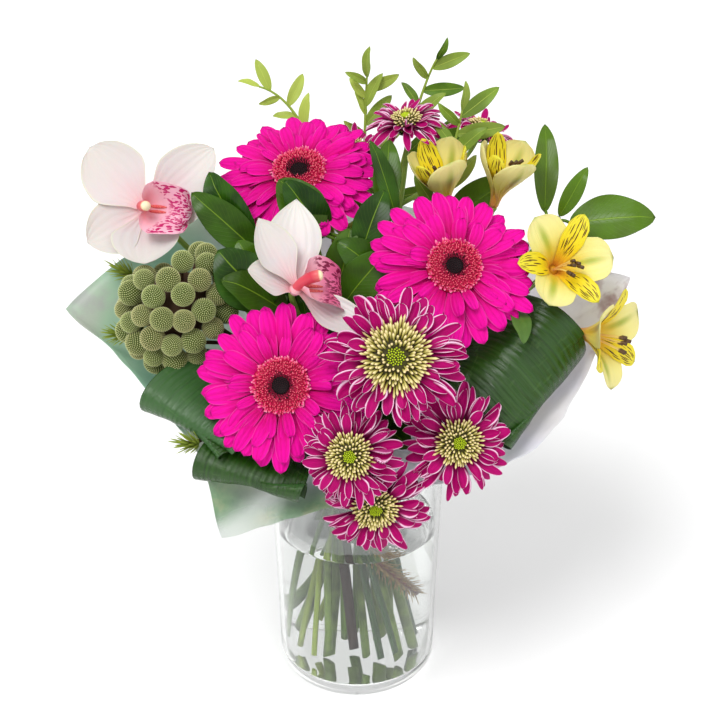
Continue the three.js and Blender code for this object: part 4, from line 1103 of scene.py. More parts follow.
def lip_surface(rows=34):
    """The lip: a line that runs forward and turns down, with side lobes raised as |x|^1.7 near the
    throat and an edge ruffled as sin(4.5 pi |x|) at the end."""
    line = through(LIP_LINE, rows)
    s = np.linspace(0, 1, rows)
    half = 17.5 * np.interp(s, LIP_STOPS, LIP_WIDTHS)

    def lift(x):
        far = np.abs(x)
        throat = 12.5 * far**1.7 * smooth((0.86 - s) / 0.5)[:, None]
        ruffle = 1.5 * np.sin(4.5 * PI * far + 0.4) * far**1.5 * smooth((s - 0.55) / 0.25)[:, None]
        fall = 2.2 * x**2 * smooth((s - 0.7) / 0.3)[:, None]
        return (throat + ruffle - fall) * np.minimum(1, half / 7)[:, None]

    return line, *blades(line, np.broadcast_to([1.0, 0, 0], line.shape), half, lift, 0.8, 23)


trial = lip_surface()[1].reshape(-1, 3)
print("the lip is", np.ptp(trial, axis=0).round(1).tolist(), "mm wide, long and deep")

# %% [markdown]
# The two orchids differ in how their tepals lie, so each tepal has its own row: bearing, length, half
# width, height of its root, lift of its tip, cup, twist and how sharp it ends.

# %% The places of the two orchids
ORCHIDS = records(
    "name at facing roll place foot lip petals",
    ("orchid_left", (-139, 38, 343), (-0.1, -0.85, 0.52), 86, (163, 14.6), 28, 0.1, (
        (50, 54, 22, 0.6, 9, 6, 0, 0), (318, 60, 18, 0.0, 3, 4, 0, 0.1), (130, 44, 19, -1.4, 12, 5, 0, 0.1),
        (190, 38, 23, -1.0, 15, 5, 0, 0), (278, 38, 13, -1.6, 0, 3, 0, 0.1))),
    ("orchid_middle", (-38, -46, 327), (0.58, -0.38, 0.72), 48, (218, 7.6), 20, 0.3, (
        (2, 61, 18, 0.0, 11, 4, -40, 0.5), (42, 49, 14, 1.2, 10, 5, -24, 0.4),
        (235, 52, 12, 0.6, 22, 3, 24, 0.3), (84, 36, 13, -2.4, 3, 3.6, 0, 0.2),
        (344, 40, 12, -2.4, 3, 3.6, -20, 0.2))),
)
print("tepals of the orchids:", [len(bloom["petals"]) for bloom in ORCHIDS])

# %% [markdown]
# The tepals start from a small turned hub. The column is a tube that arches over the lip and ends in a
# round cap, and the ridges are tubes on either side of the lip's middle line.

# %% The two orchids
NUB = [(0, -3.5), (3.4, -3), (4.4, 0.5), (3, 2.2), (0, 2.4)]
COLUMN = bezier((0, 0.5, 1.5), (0, 1.6, 9), (0, 0.5, 17), (0, -5.5, 22), 22)
COLUMN_SIZE = np.interp(np.linspace(0, 1, 22), [0, 0.3, 0.7, 0.88, 0.95, 1], [3.0, 3.6, 4.2, 4.3, 3.4, 1.8])
RIDGE_SIZE = 0.3 + 0.9 * np.sin(np.linspace(0.2, PI - 0.2, 12))


def grooved(a, s):
    """The column's groove: a little flatter above and below."""
    return 1 - 0.16 * np.cos(a) ** 2


for bloom in ORCHIDS:
    name = bloom["name"]
    tepals = Gathering(bloom)
    tepals.add(lathe(NUB, 20), mark=(0, 0.02, 1))
    for petal in bloom["petals"]:
        tepals.add(*tepal(*petal), chance.uniform())
    make_piece(name + "_petals", tepals, tepal_finish, "waxy_white_tepal", name + "_tepals")

    lip = Gathering(bloom)
    line, grid, mark = lip_surface()
    lip.add(grid, mark, bloom["lip"])
    for x in (-1.7, 1.7):
        add_tube(lip, line[4:16] + [x, 0, 0.5], RIDGE_SIZE, 8, tint=0.95)
    add_tube(lip, COLUMN, COLUMN_SIZE, 16, grooved, tint=0.5)
    make_piece(name + "_throat", lip, lip_finish, "waxy_spotted_lip_magenta", name + "_lip")

    stem = Gathering()
    line, _ = stem_line(bloom["place"], bloom["foot"], behind(bloom, 4.2), bloom["facing"], lead=9)
    add_tube(stem, line, np.linspace(2.3, 1.9, len(line)), 12, tint=0.4, slant=0.7)
    make_piece(name + "_stalk", stem, green_stem, "green_stem", name + "_stem")

# %% [markdown]
# ## Alstroemerias
#
# Three broad outer tepals and three narrow inner ones make a trumpet. The inner ones are brighter and
# carry short dark streaks along their veins; the outer ones are pale with a green midrib and tip.

# %% The finish of alstroemeria tepals
yellow = Finish("alstroemeria_tepal", roughness=0.42, specular_ior_level=0.3, **SOFT)
across, root_to_tip, upper = yellow.marks()
to_rib = 1 - across.size()
veins = yellow.noise(4.0, 3.0, 0.6, yellow.joined(across * 5.0, root_to_tip * 0.5, yellow.tint() * 9.0))
outer = yellow.ramp(
    root_to_tip, (0.0, 196, 110, 60), (0.28, 224, 166, 96), (0.48, 230, 212, 90), (0.8, 234, 224, 140),
    (1.0, 228, 220, 150))
rib = to_rib.step(0.7, 0.98) * root_to_tip.step(0.4, 0.6) * root_to_tip.step(1.0, 0.7)
outer = yellow.mix(rib * 0.8 + root_to_tip.step(0.95, 1.0) * 0.5, outer, (148, 168, 40))
stripe = to_rib.step(0.62, 0.95) * root_to_tip.step(0.3, 0.45) * root_to_tip.step(0.85, 0.6) * (1 - upper)
outer = yellow.mix(stripe * 0.75, outer, (122, 84, 26))
outer = yellow.mix(to_rib.step(0.3, 0.9) * root_to_tip.step(0.75, 0.45) * 0.6, outer, (228, 186, 20))
inner = yellow.ramp(
    root_to_tip, (0.0, 226, 130, 90), (0.35, 236, 180, 50), (0.6, 236, 208, 16), (1.0, 232, 222, 60))
dash_place = yellow.joined(across * 5.0, root_to_tip * 3.4, yellow.tint() * 5.0)
dashes = yellow.cells(1.5, dash_place).step(0.42, 0.3)
streak = dashes * root_to_tip.step(0.42, 0.52) * root_to_tip.step(0.98, 0.93) * (across.size() < 0.86)
inner = yellow.mix(streak, inner, (74, 30, 12))
yellow.bump((across * 20.0).sin() * 0.3 + veins, 0.0006, 0.4)
trumpet_finish = yellow.set(base_color=yellow.mix(yellow.tint() > 0.5, outer, inner))

# %% [markdown]
# A stamen is a pale thread with a brown anther at its end, so its colour changes at four fifths of it.

# %% The finish of stamens
thread = Finish("stamen", roughness=0.5)
_, root_to_tip, _ = thread.marks()
stamen_finish = thread.set(base_color=thread.ramp(
    root_to_tip, (0.0, 230, 170, 120), (0.78, 240, 214, 120), (0.82, 96, 66, 30), (1.0, 70, 46, 22)))

# %% [markdown]
# Two flowers are open wide and two at the back are half shut, which is one profile of radius and height
# against another. A broad tepal opens late and is widest near its end, and a narrow one is a spoon.

# %% The shape of an alstroemeria tepal
TRUMPET = [(2.2, -29), (3.0, -22), (6.5, -14), (14, -6), (24, -0.5), (34.5, 3)]
HALF_OPEN = [(2.2, -29), (3.0, -22), (5.6, -14), (11, -5), (17, 5), (20, 16)]
BROAD = ([0, 0.22, 0.4, 0.55, 0.72, 0.86, 0.95, 1], [0.1, 0.13, 0.42, 0.8, 1, 0.92, 0.62, 0], 4.2)
NARROW = ([0, 0.22, 0.42, 0.66, 0.84, 0.95, 1], [0.16, 0.2, 0.55, 1, 0.92, 0.56, 0], 1.6)


def trumpet_tepal(profile, bearing, half, reach, raised, kind, rows=26):
    """A tepal that follows the trumpet's profile of (radius, height), turned to its bearing. Its width
    runs through the stops of its kind, and its edges rise by the kind's bend times x^2."""
    profile = through(profile, rows)
    s = np.linspace(0, 1, rows)
    out, tangent = around(np.radians(bearing))
    line = out * (profile[:, :1] * reach) + UP * (profile[:, 1:] + raised * smooth(s * 1.4)[:, None])
    stops, widths, bend = kind
    shape = np.interp(s, stops, widths)

    def lift(x):
        wave = 0.5 * np.sin(9 * s + bearing)[:, None] * x**4
        return (bend * x**2 - 0.5 * bell(x, 0.15) + wave) * shape[:, None]

    return blades(line, across_of(line, tangent), half * shape, lift, 0.7, 13)


print("open flowers are", 2 * TRUMPET[-1][0], "mm across, half open ones", 2 * HALF_OPEN[-1][0])

# %% [markdown]
# Each flower is six tepals on a short green base, with six stamens and a style that lie on the lowest
# tepal and turn up at their ends. The stamens are thin tubes whose last fifth is the thicker anther.

# %% The four alstroemeria flowers
ALSTROEMERIAS = records(
    "name at facing roll profile",
    ("alstroemeria_right", (134, -8, 327), (0.25, -0.72, 0.65), 25, TRUMPET),
    ("alstroemeria_low", (166, -28, 281), (0.8, -0.5, 0.1), 40, TRUMPET),
    ("alstroemeria_back", (98, 49, 366), (0.22, -0.08, 0.95), 16, HALF_OPEN),
    ("alstroemeria_middle", (55, 45, 366), (-0.2, -0.12, 0.96), 24, HALF_OPEN),
)
FLOWER_BASE = [(0, -30), (2.4, -30), (2.8, -26), (3.4, -21), (0, -19)]
ANTHER, STAMEN, STAMENS = 1.25, 0.42, 6
for bloom in ALSTROEMERIAS:
    flower = Gathering(bloom)
    flower.add(lathe(FLOWER_BASE, 20), mark=(0, 0.02, 1), tint=0.1)
    for bearing, reach in ((90, 1.0), (210, 0.96), (330, 0.96)):
        grid, mark = trumpet_tepal(bloom["profile"], bearing, 15.0, reach, 0.0, BROAD)
        flower.add(grid, mark, 0.1 + 0.3 * chance.uniform())
    for bearing in (30, 150, 270):
        grid, mark = trumpet_tepal(bloom["profile"], bearing, 8.0, 0.99, 1.6, NARROW)
        flower.add(grid, mark, 0.6 + 0.4 * chance.uniform())
    make_piece(bloom["name"] + "_flower", flower, trumpet_finish, "petal_yellow", bloom["name"])

    stamens = Gathering(bloom)
    for i in range(STAMENS + 1):
        x, y = 5.0 * np.cos(i * 2.4), -7 - 4 * np.sin(i * 1.7)
        root = (0.6 * np.cos(i), 0.6 * np.sin(i), -26)
        line = bezier(root, (x * 0.2, 0, -14), (x * 0.8, y * 0.3, 0), (x, y, 6 + i % 3), 16)
        thick = np.where(np.linspace(0, 1, 16) > 0.8, ANTHER, STAMEN) * (1 if i < STAMENS else 0.5)
        add_tube(stamens, line, thick, 7)
    make_piece(bloom["name"] + "_stamens", stamens, stamen_finish, "petal_yellow")

# %% [markdown]
# ## Brunia
#
# Brunia's seed heads are balls the size of a cherry, each covered by hundreds of tiny scales that end in
# a pale point. Balls and scales sit at golden-angle places, so the fine pattern is real relief.

# %% The finish of brunia
scaled = Finish("brunia_ball", roughness=0.62, specular_ior_level=0.3)
_, root_to_tip, _ = scaled.marks()
body = scaled.mix(scaled.tint(), (144, 166, 64), (176, 160, 94))
body = scaled.mix(root_to_tip.step(0.0, 0.14), (66, 82, 26), body)
ball_finish = scaled.set(base_color=scaled.mix(root_to_tip.step(0.2, 0.8), body, (232, 234, 182)))

# %% [markdown]
# Ball i sits at the height 1 - (i + 0.5) / 35 of the dome, turned by the golden angle from the last, and
# the count goes on below the middle. Where the left orchid lies over the head no ball grows.

# %% The places of the balls
BRUNIA = {"at": (-116, -15, 297), "facing": (-0.5, -0.6, 0.62)}
TO_ORCHID = np.array([-0.45, 0.3, 0.85])
CORE, BALLS, DOME, OVAL = 33.0, 44, 35, 1.14


def ball_ways(far, limit):
    """The number and the way of each ball, without those that would stand further towards the orchid
    than the limit when they are far(i) from the middle of the head."""
    for i in range(BALLS):
        z = 1 - (i + 0.5) / DOME
        flat = np.sqrt(max(1 - z * z, 0))
        way = np.array([flat * np.cos(i * GOLDEN), OVAL * flat * np.sin(i * GOLDEN), z])
        if (seated(far(i) * way, BRUNIA) - BRUNIA["at"]) @ TO_ORCHID <= limit:
            yield i, way


def ball_far(i):
    """How far the middle of ball i is from that of the head."""
    return CORE + 0.8 + np.sin(i * 2.4)


print("balls on the head:", len(list(ball_ways(ball_far, 30.5))))

# %% [markdown]
# Each ball is under 430 small scales. A scale is a spike of three rings with four points each, because
# it is repeated some sixteen thousand times. All scales of a ball are one batch.

# %% The head of brunia
SCALES = 430
SCALE_REACH = np.array([-0.35, 0.12, 0.75])
SCALE_SIZE = np.array([0.5, 0.5, 0.08])


def ball_points(count):
    """Unit directions at golden-angle places from one pole to the other."""
    k = np.arange(count)
    z = 1 - (k + 0.5) * 2 / count
    flat = np.sqrt(1 - z * z)
    return np.stack([flat * np.cos(k * GOLDEN), flat * np.sin(k * GOLDEN), z], -1)


def sphere(radius, rows=14, sides=20):
    """(r sin p cos a, r sin p sin a, -r cos p)."""
    p = np.linspace(0, PI, rows)
    return lathe(np.stack([radius * np.sin(p), -radius * np.cos(p)], -1), sides)


head = Gathering(BRUNIA)
scale_mark = np.zeros((3, 4, 3))
scale_mark[..., 1] = np.array([0.0, 0.15, 1.0])[:, None]
for i, way in ball_ways(ball_far, 30.5):
    size, middle = 7.5 * (0.95 + 0.1 * np.sin(i * 5.1)), ball_far(i) * way
    own = chance.uniform() ** 1.5
    head.add(sphere(size) + middle, mark=(0, 0.0, 1), tint=own)
    ways = ball_points(SCALES) @ bloom_axes(unit(middle + [0.1, 0.2, 3.0]))
    line = ways[:, None] * (size + SCALE_REACH)[None, :, None] + middle + UP * np.array([0, 0, 0.1])[:, None]
    guide = np.cross(ways, [0.3, 0.1, 0.95])[:, None]
    head.add(tubes(line, SCALE_SIZE * np.ones((SCALES, 1)), 4, guide), scale_mark, own)
make_piece("brunia_balls", head, ball_finish, "matt_grey_green_seed_heads", "brunia_berries")

# %% [markdown]
# Brunia's leaves are short soft needles, in tufts at the ends of thin shoots beside the head. A needle
# is a slim blade, and a tuft sets its needles by the golden angle about the way the shoot grows.

# %% A tuft of needles
NEEDLE_SHAPE = 0.75 * np.array([0.5, 0.9, 1, 1, 0.85, 0.55, 0])


def needle_tuft(gathered, at, facing, count=38, spread=1.1):
    """Needles round a point: slim blades that lean out from the way they face by a golden-angle rule."""
    bearing, share = golden_places(count, 0, 1)
    lean = 0.15 + 0.85 * share * spread
    way = np.stack([np.sin(lean) * np.cos(bearing), np.sin(lean) * np.sin(bearing), np.cos(lean)], -1)
    way = way @ bloom_axes(facing)
    s = np.linspace(0, 1, len(NEEDLE_SHAPE))
    reach = 13.0 * (1 - 0.35 * share + chance.normal(0, 0.08, count))
    root = np.asarray(at, float) + way * 0.5 - unit(facing) * (share * 9)[:, None]
    line = root[:, None] + way[:, None] * (reach[:, None] * s)[..., None]
    line = line + unit(facing) * (1.5 * s**2)[:, None]
    side = across_of(line, np.cross(way, facing)[:, None])
    gathered.add(*blades(line, side, NEEDLE_SHAPE * np.ones((count, 1)), 0.0, 0.35, 5), 0.9)


print("a needle is", 2 * NEEDLE_SHAPE.max(), "mm wide and at most 13 mm long")

# %% [markdown]
# The head sits on one woody stem. A knobbly core fills its middle, a short stalk runs from it to each
# ball, and three shoots end in tufts of needles.

# %% The brunia's stem, with stalks between the balls
WOODY = [(0, -14.2), (11, -13.6), (18, -11), (21, -3), (19, 11), (11, 18), (0, 21)]
TUFTS = [
    ((-156, 20, 306), (-0.9, 0.05, 0.4), 0.8, (-122, 16, 282)),
    ((-157, -14, 277), (-0.9, -0.3, 0.3), 0.66, (-128, -2, 264)),
    ((-107, -86, 238), (-0.9, -0.3, 0.3), 0.5, (-88, -66, 226)),
]


def barked(depth, turns):
    """Three shallow folds that wind round a woody stem."""
    return lambda a, s: 1 + depth * np.cos(3 * a + turns * s)


stem = Gathering()
line, upper = stem_line((195, 14.6), 34, behind(BRUNIA, 14.3), BRUNIA["facing"])
add_tube(stem, line, np.linspace(2.9, 2.3, len(line)), 12, barked(0.06, 40), tint=0.2, slant=0.3)
core = lathe(WOODY, 40, lambda a: 1 + 0.04 * np.cos(7 * a)) * [1, OVAL, 1]
stem.add(core, mark=(0.2, 0.3, 1), tint=0.3, bloom=BRUNIA)
for _, way in ball_ways(lambda i: CORE, 29.5):
    add_tube(stem, np.linspace(way * 14 + [0, 0, -3], way * 28, 4), 1.1, 7, tint=0.4, bloom=BRUNIA)
for at, facing, start, by in TUFTS:
    add_tube(stem, shoot(on(upper, start), np.array(by, float), np.array(at, float)), 1.4, 8, tint=0.3)
    needle_tuft(stem, at, facing)
make_piece("brunia_stalk", stem, brown_stem, "brown_twig_with_green_needles", "brunia_stem")

# %% [markdown]
# A needled side shoot of the brunia's stem hangs in the water at the front of the vase, where it has
# turned brown and pale. It is an arching twig with eight tufts along it.

# %% A needle twig under water
sunken = Finish("sunken_twig", roughness=0.6)
_, root_to_tip, _ = sunken.marks()
bark = sunken.mix(sunken.noise(70.0, 3.0), (70, 26, 12), (140, 66, 34))
needle = sunken.mix(root_to_tip, (98, 56, 20), (178, 150, 88))
sunken_finish = sunken.set(base_color=sunken.mix(sunken.tint() > 0.6, bark, needle))
twig = Gathering()
line = bezier((2, -25, 124), (14, -24, 104), (26, -20, 88), (36, -17, 72), 30)
add_tube(twig, line, np.linspace(2.6, 1.2, 30), 10, barked(0.12, 50), tint=0.3)
for share in 0.25 + 0.1 * np.arange(8):
    facing = on(along(line), share) + [0.2, -0.25, 0.1]
    needle_tuft(twig, on(line, share), facing, count=16, spread=1.3)
make_piece("sunken_needles", twig, sunken_finish, "brown_twig_with_green_needles")

# %% [markdown]
# ## Leaves
#
# Three kinds of leaf fill the bunch. Aspidistra leaves are long and glossy with fine parallel veins, and
# are folded over so that their tips go back into the bunch. The broad leaves have a pale midrib and side
# veins. The twigs carry small fresh leaves on both sides.

# %% The finish of aspidistra leaves
glossy = Finish("aspidistra_leaf", roughness=0.2, specular_ior_level=0.5)
across, root_to_tip, upper = glossy.marks()
long_veins = glossy.noise(1.0, 4.0, 0.65, glossy.joined(across * 40.0, root_to_tip * 1.2, glossy.tint() * 9))
cross_veins = glossy.noise(1.0, 3.0, 0.6, glossy.joined(across * 3.0, root_to_tip * 46.0, glossy.tint() * 9))
clouds = glossy.noise(22.0, 3.0)
body = glossy.mix(long_veins, (5, 32, 2), (48, 94, 14))
body = glossy.mix(clouds.step(0.45, 0.7) * 0.45, body, (22, 56, 16))
body = glossy.mix(cross_veins.step(0.55, 0.75) * 0.2, body, (104, 144, 70))
body = glossy.mix((1 - across.size()).step(0.97, 0.995) * 0.2, body, (84, 120, 60))
body = glossy.mix((1 - upper) * 0.5, body, (70, 112, 64))
glossy.bump(long_veins + (across * 60.0).sin() * 0.25 + cross_veins * 0.15, 0.0012, 0.8)
aspidistra_finish = glossy.set(base_color=body, roughness=long_veins * 0.2 + 0.1)

# %% [markdown]
# The other leaves have a midrib with side veins. A side vein is where a sine of the way along, less some
# of the way across, is near its top. The broad leaves are dark and glossy, those of the twigs light.

# %% The finishes of veined leaves
def leaf_finish(name, dark, light, rib, gloss, veins_in=13.0, fade=0.32):
    """A leaf with a pale midrib and side veins that leave it towards the tip."""
    leaf = Finish(name, roughness=gloss, specular_ior_level=0.22)
    across, root_to_tip, upper = leaf.marks()
    from_rib = across.size()
    clouds = leaf.noise(45.0, 4.0)
    fine = leaf.noise(260.0, 2.0)
    body = leaf.mix(clouds.step(0.3, 0.7), dark, light)
    body = leaf.mix(leaf.tint(), body, leaf.mix(fade, body, rib))
    side_vein = ((root_to_tip * veins_in - from_rib * 4.2) * 2 * PI).sin().step(0.88, 1.0)
    side_vein = side_vein * (1 - from_rib.step(0.8, 1.0))
    midrib = (1 - from_rib).step(0.955, 0.99)
    body = leaf.mix(side_vein * 0.06, body, rib)
    body = leaf.mix(midrib * 0.7, body, rib)
    body = leaf.mix((1 - upper) * 0.5, body, leaf.mix(0.5, light, rib))
    leaf.bump(side_vein * 0.3 + fine * 0.25 - midrib * 0.5, 0.0005, 0.5)
    return leaf.set(base_color=body)


broad_leaf = leaf_finish("broad_leaf", (14, 46, 8), (46, 90, 10), (128, 162, 40), 0.28)
fresh_leaf = leaf_finish("fresh_leaf", (58, 94, 18), (104, 142, 36), (196, 210, 96), 0.4, 8.0, 0.75)

# %% [markdown]
# A leaf of these plants is widest a little below its middle, arches from root to tip, and is folded a
# little along its midrib, with a slow wave in its edges. A power of a sine gives the outline.

# %% The shape of a leaf
def leaf_blade(root, tip, face, half, arch, rows=25, columns=13, wave=0.6, seed=0.0):
    """A leaf whose middle is root + run t + up 4 arch t(1 - t), and whose half width follows
    sin(pi t^0.92)^0.68. It is creased along its midrib and its edges wave a little."""
    root, tip, t = np.asarray(root, float), np.asarray(tip, float), np.linspace(0, 1, rows)
    run = tip - root
    way = unit(run)
    up = unit(np.asarray(face, float) - way * np.dot(face, way))
    side = np.cross(up, way)
    curl = arch * 4 * t * (1 - t) - 0.06 * np.linalg.norm(run) * smooth((t - 0.8) / 0.2)
    line = root + run * t[:, None] + up * curl[:, None] + side * (0.03 * half * np.sin(5 * t + seed))[:, None]
    shape = np.sin(PI * t**0.92) ** 0.68
    shape = np.maximum(shape, 0.06 * (t < 0.9))
    shape[-1] = 0

    def lift(x):
        fold = 0.16 * half * np.abs(x) ** 1.4 - 0.35 * bell(x, 0.09)
        ripple = wave * np.sin(11 * t[:, None] + 3 * np.sign(x) + seed) * x**4 * smooth(t * 4)[:, None]
        return (fold + ripple) * shape[:, None]

    return blades(line, across_of(line, side), half * shape, lift, 0.5, columns)


trial = leaf_blade((0, 0, 0), (0, 40, 0), (0, 0, 1), 10, 3)[0]
print("a leaf 40 long and 10 in half width spans", np.ptp(trial.reshape(-1, 3), axis=0).round(1).tolist())

# %% [markdown]
# The aspidistra leaf is a long band that florists bend over, so it follows a path with a half width at
# each of its points, and is laid level across one direction.

# %% The shape of a folded leaf
def rolled_leaf(path, fold, rows=72):
    """A leaf along a path of (x, y, z, half width), level across the fold direction and cupped by x^2."""
    path = through(path, rows)
    line, half = path[:, :3], np.maximum(path[:, 3], 0)
    half[-1] = 0
    t = np.linspace(0, 1, rows)[:, None]

    def lift(x):
        fine = 0.25 * np.sin(14 * x + 2 * t) * (1 - x**2) - 0.6 * bell(x, 0.06)
        wave = 0.7 * np.sin(9 * t + 5) * x**4
        return -3.0 * x**2 * half[:, None] / 50 + fine * np.minimum(1, half / 12)[:, None] + wave

    return blades(line, across_of(line, fold), half, lift, 0.5, 23)


print("a folded leaf has", rolled_leaf([(0, 0, 0, 5), (0, 60, 30, 30)], (1, 0, 0))[0].shape[:2], "points")

# %% [markdown]
# Three aspidistra leaves make a dark collar: one bent round to the right under the blooms, one to the
# left, and one low in front. Each row of a path is x, y, z and the half width of the leaf there. The
# stalk comes up from the tie into the leaf's own direction.

# %% Aspidistra leaves
ASPIDISTRAS = {
    "right": ((-38, 14.6), 18, (73, 65, 62),
              [(34, -16, 232, 4), (57, -21, 261, 25), (78, -32, 278, 42), (97, -46, 276, 49),
               (113, -56, 262, 50), (121, -55, 250, 45), (114, -47, 240, 36), (95, -35, 234, 24),
               (72, -24, 228, 0)]),
    "left": ((228, 14.6), 22, (-61, 27, 25),
             [(-30, -22, 225, 4), (-54, -34, 249, 20), (-76, -50, 261, 32), (-94, -68, 257, 36),
              (-106, -78, 249, 35), (-106, -75, 241, 30), (-92, -62, 235, 22), (-70, -46, 230, 0)]),
    "front": ((-125, 21), 30, (66, -6, -20),
              [(-24, -34, 206, 4), (-45, -60, 221, 22), (-59, -84, 227, 33), (-67, -98, 220, 37),
               (-66, -96, 211, 33), (-58, -80, 205, 22), (-45, -62, 203, 0)]),
}
for name, (place, foot, fold, path) in ASPIDISTRAS.items():
    leaf = Gathering()
    first, second = np.array(path[0][:3], float), np.array(path[1][:3], float)
    head = first + 0.15 * (second - first)
    line, _ = stem_line(place, foot, head, second - first, lead=14, bend=12)
    add_tube(leaf, line, np.linspace(2.1, 1.9, len(line)), 12, tint=0.3, slant=0.5)
    leaf.add(*rolled_leaf(path, fold), chance.uniform())
    name = f"aspidistra_{name}"
    make_piece(name + "_leaf", leaf, aspidistra_finish, "glossy_dark_green_leaf", name)

# %% [markdown]
# Five branches carry the broad leaves that fill the gaps between the blooms. Each leaf is given by its
# root, its tip, the way its face looks, its half width, its arch, and the share of the branch that its
# stalk leaves from. A leaf without a share grows from the head of the branch.

# %% The leaves of each branch
BRANCHES = {
    "left": ((172, 7.6), 36, (-66, 14, 328), (-0.5, 0.1, 0.85), [
        ((-67, 14, 324), (-98, 35, 370), (-0.4, -0.8, 0.5), 14, 3, None),
        ((-62, 12, 322), (-108, 26, 360), (-0.2, -0.8, 0.5), 12, 3, 0.85),
        ((-54, -10, 306), (-76, -4, 340), (-0.1, -0.9, 0.4), 13, 3, 0.78),
        ((-53, -32, 308), (-88, -25, 343), (-0.2, -0.8, 0.55), 18, 2, 0.8),
        ((-44, -28, 300), (-84, -38, 330), (0.1, -0.6, 0.8), 14, 4, 0.7)]),
    "middle": ((0, 0), 40, (-8, 8, 338), (-0.1, 0, 1), [
        ((-20, 18, 332), (-46, 15, 373), TOWARD, 13, 4, 0.96),
        ((20, -8, 314), (-12, -4, 340), TOWARD, 12, 3, 0.8),
        ((18, 30, 343), (22, 60, 384), TOWARD, 9, 3, 0.9),
        ((2, -2, 328), (18, 18, 366), TOWARD, 11, 3, 0.9),
        ((-7, -20, 304), (19, -12, 337), TOWARD, 13, 3, 0.7),
        ((-12, -8, 306), (-4, 4, 345), TOWARD, 12, 3, 0.75),
        ((26, 28, 340), (10, 48, 388), (0.3, -0.8, 0.5), 6.5, 2, 0.85),
        ((-24, 12, 335), (-50, 26, 370), (0.2, -0.7, 0.6), 15, 6, 0.92)]),
    "right": ((20, 14.6), 26, (134, 36, 338), (0.4, 0.1, 0.9), [
        ((140, 32, 334), (196, 26, 344), (0.1, -0.7, 0.7), 15, 3, 0.96),
        ((126, 48, 335), (127, 84, 385), TOWARD, 8, 4, 0.9),
        ((134, 36, 338), (152, 44, 370), TOWARD, 6, 2, None)]),
    "back": ((58, 21), 22, (56, 92, 332), (0.2, 0.5, 0.8), [
        ((56, 92, 330), (66, 128, 368), (0.2, 0.8, 0.4), 14, 3, None),
        ((62, 74, 314), (106, 84, 344), (0.4, 0.8, 0.3), 13, 3, 0.7)]),
    "back_left": ((118, 21), 26, (-52, 86, 318), (-0.4, 0.5, 0.8), [
        ((-52, 84, 318), (-66, 112, 356), (-0.3, 0.8, 0.4), 14, 3, None),
        ((-36, 74, 304), (-22, 108, 330), (0.1, 0.8, 0.5), 12, 3, 0.85),
        ((-54, 64, 310), (-94, 66, 344), (-0.5, 0.6, 0.5), 12, 3, 0.85)]),
}
print({name: len(branch[-1]) for name, branch in BRANCHES.items()}, "leaves")

# %% [markdown]
# A leaf's stalk leaves the branch at the leaf's share and ends just inside the leaf. The tint differs
# from leaf to leaf, and the right branch, which stands in full light, is paler.

# %% Branches with broad leaves
def leaf_stalk(gathered, upper, share, root, tip, sides, tint):
    """A thin stalk from a branch to a leaf."""
    start, end = on(upper, share), root + 0.04 * (tip - root)
    add_tube(gathered, shoot(start, (start + end) / 2 + [0, 0, 4], end, 14), 1.1, sides, tint=tint)


for name, (place, foot, head, facing, leaves) in BRANCHES.items():
    branch = Gathering()
    line, upper = stem_line(place, foot, head, facing)
    add_tube(branch, line, np.linspace(2.0, 1.6, len(line)), 12, tint=0.2, slant=-0.5)
    for i, (root, tip, face, half, arch, share) in enumerate(leaves):
        if share:
            leaf_stalk(branch, upper, share, np.array(root, float), np.array(tip, float), 9, 0.6)
        tint = (0.9 if name == "right" else 0.05) + 0.7 * (i * 0.37 % 1)
        branch.add(*leaf_blade(root, tip, face, half * 1.04, arch, seed=i * 1.7), tint)
    make_piece(f"leaves_{name}_branch", branch, broad_leaf, "green_leaf", f"leaves_{name}")

# %% [markdown]
# Deep in a real bunch there is no empty space: leaves stand between the stems and go dark in the shade.
# So 44 leaves at golden-angle places lean out from the tie, inside the sheet, and five more stand behind
# the front chrysanthemums.

# %% Foliage deep in the bunch
DEEP = 44
BEHIND_FRONT = [
    ((8, -28, 222), (30, -74, 264)), ((18, -26, 220), (52, -64, 250)), ((0, -30, 222), (10, -80, 252)),
    ((-8, -28, 222), (-18, -78, 246)), ((14, -30, 218), (32, -82, 234)),
]
depth = Gathering()
for i in range(DEEP):
    share = (i + 0.5) / DEEP
    out, _ = around(i * GOLDEN)
    reach = (22 + 54 * share**0.6) * (1 - 0.2 * max(0, -out[1]))
    root = out * (8 + 10 * share) + UP * (226 + 8 * np.sin(3 * i))
    tip = out * reach + UP * (314 - 42 * share**1.5 + 6 * np.sin(5 * i))
    face, half = np.cross(out, UP) * 0.5 + np.array(TOWARD), 14 + 3 * np.sin(2 * i)
    depth.add(*leaf_blade(root, tip, face, half, 4, rows=17, columns=9, seed=i), 0.25 * (i * 0.37 % 1))
for i, (root, tip) in enumerate(BEHIND_FRONT):
    depth.add(*leaf_blade(root, tip, TOWARD, 14, 4, rows=17, columns=9, seed=i), 0.1)
make_piece("foliage_between_stems", depth, broad_leaf, "green_leaf")

# %% [markdown]
# Each alstroemeria stem forks to two flowers, and the right one has a narrow leaf under its flowers.
# Where a flower joins there is a small swelling, the ovary.

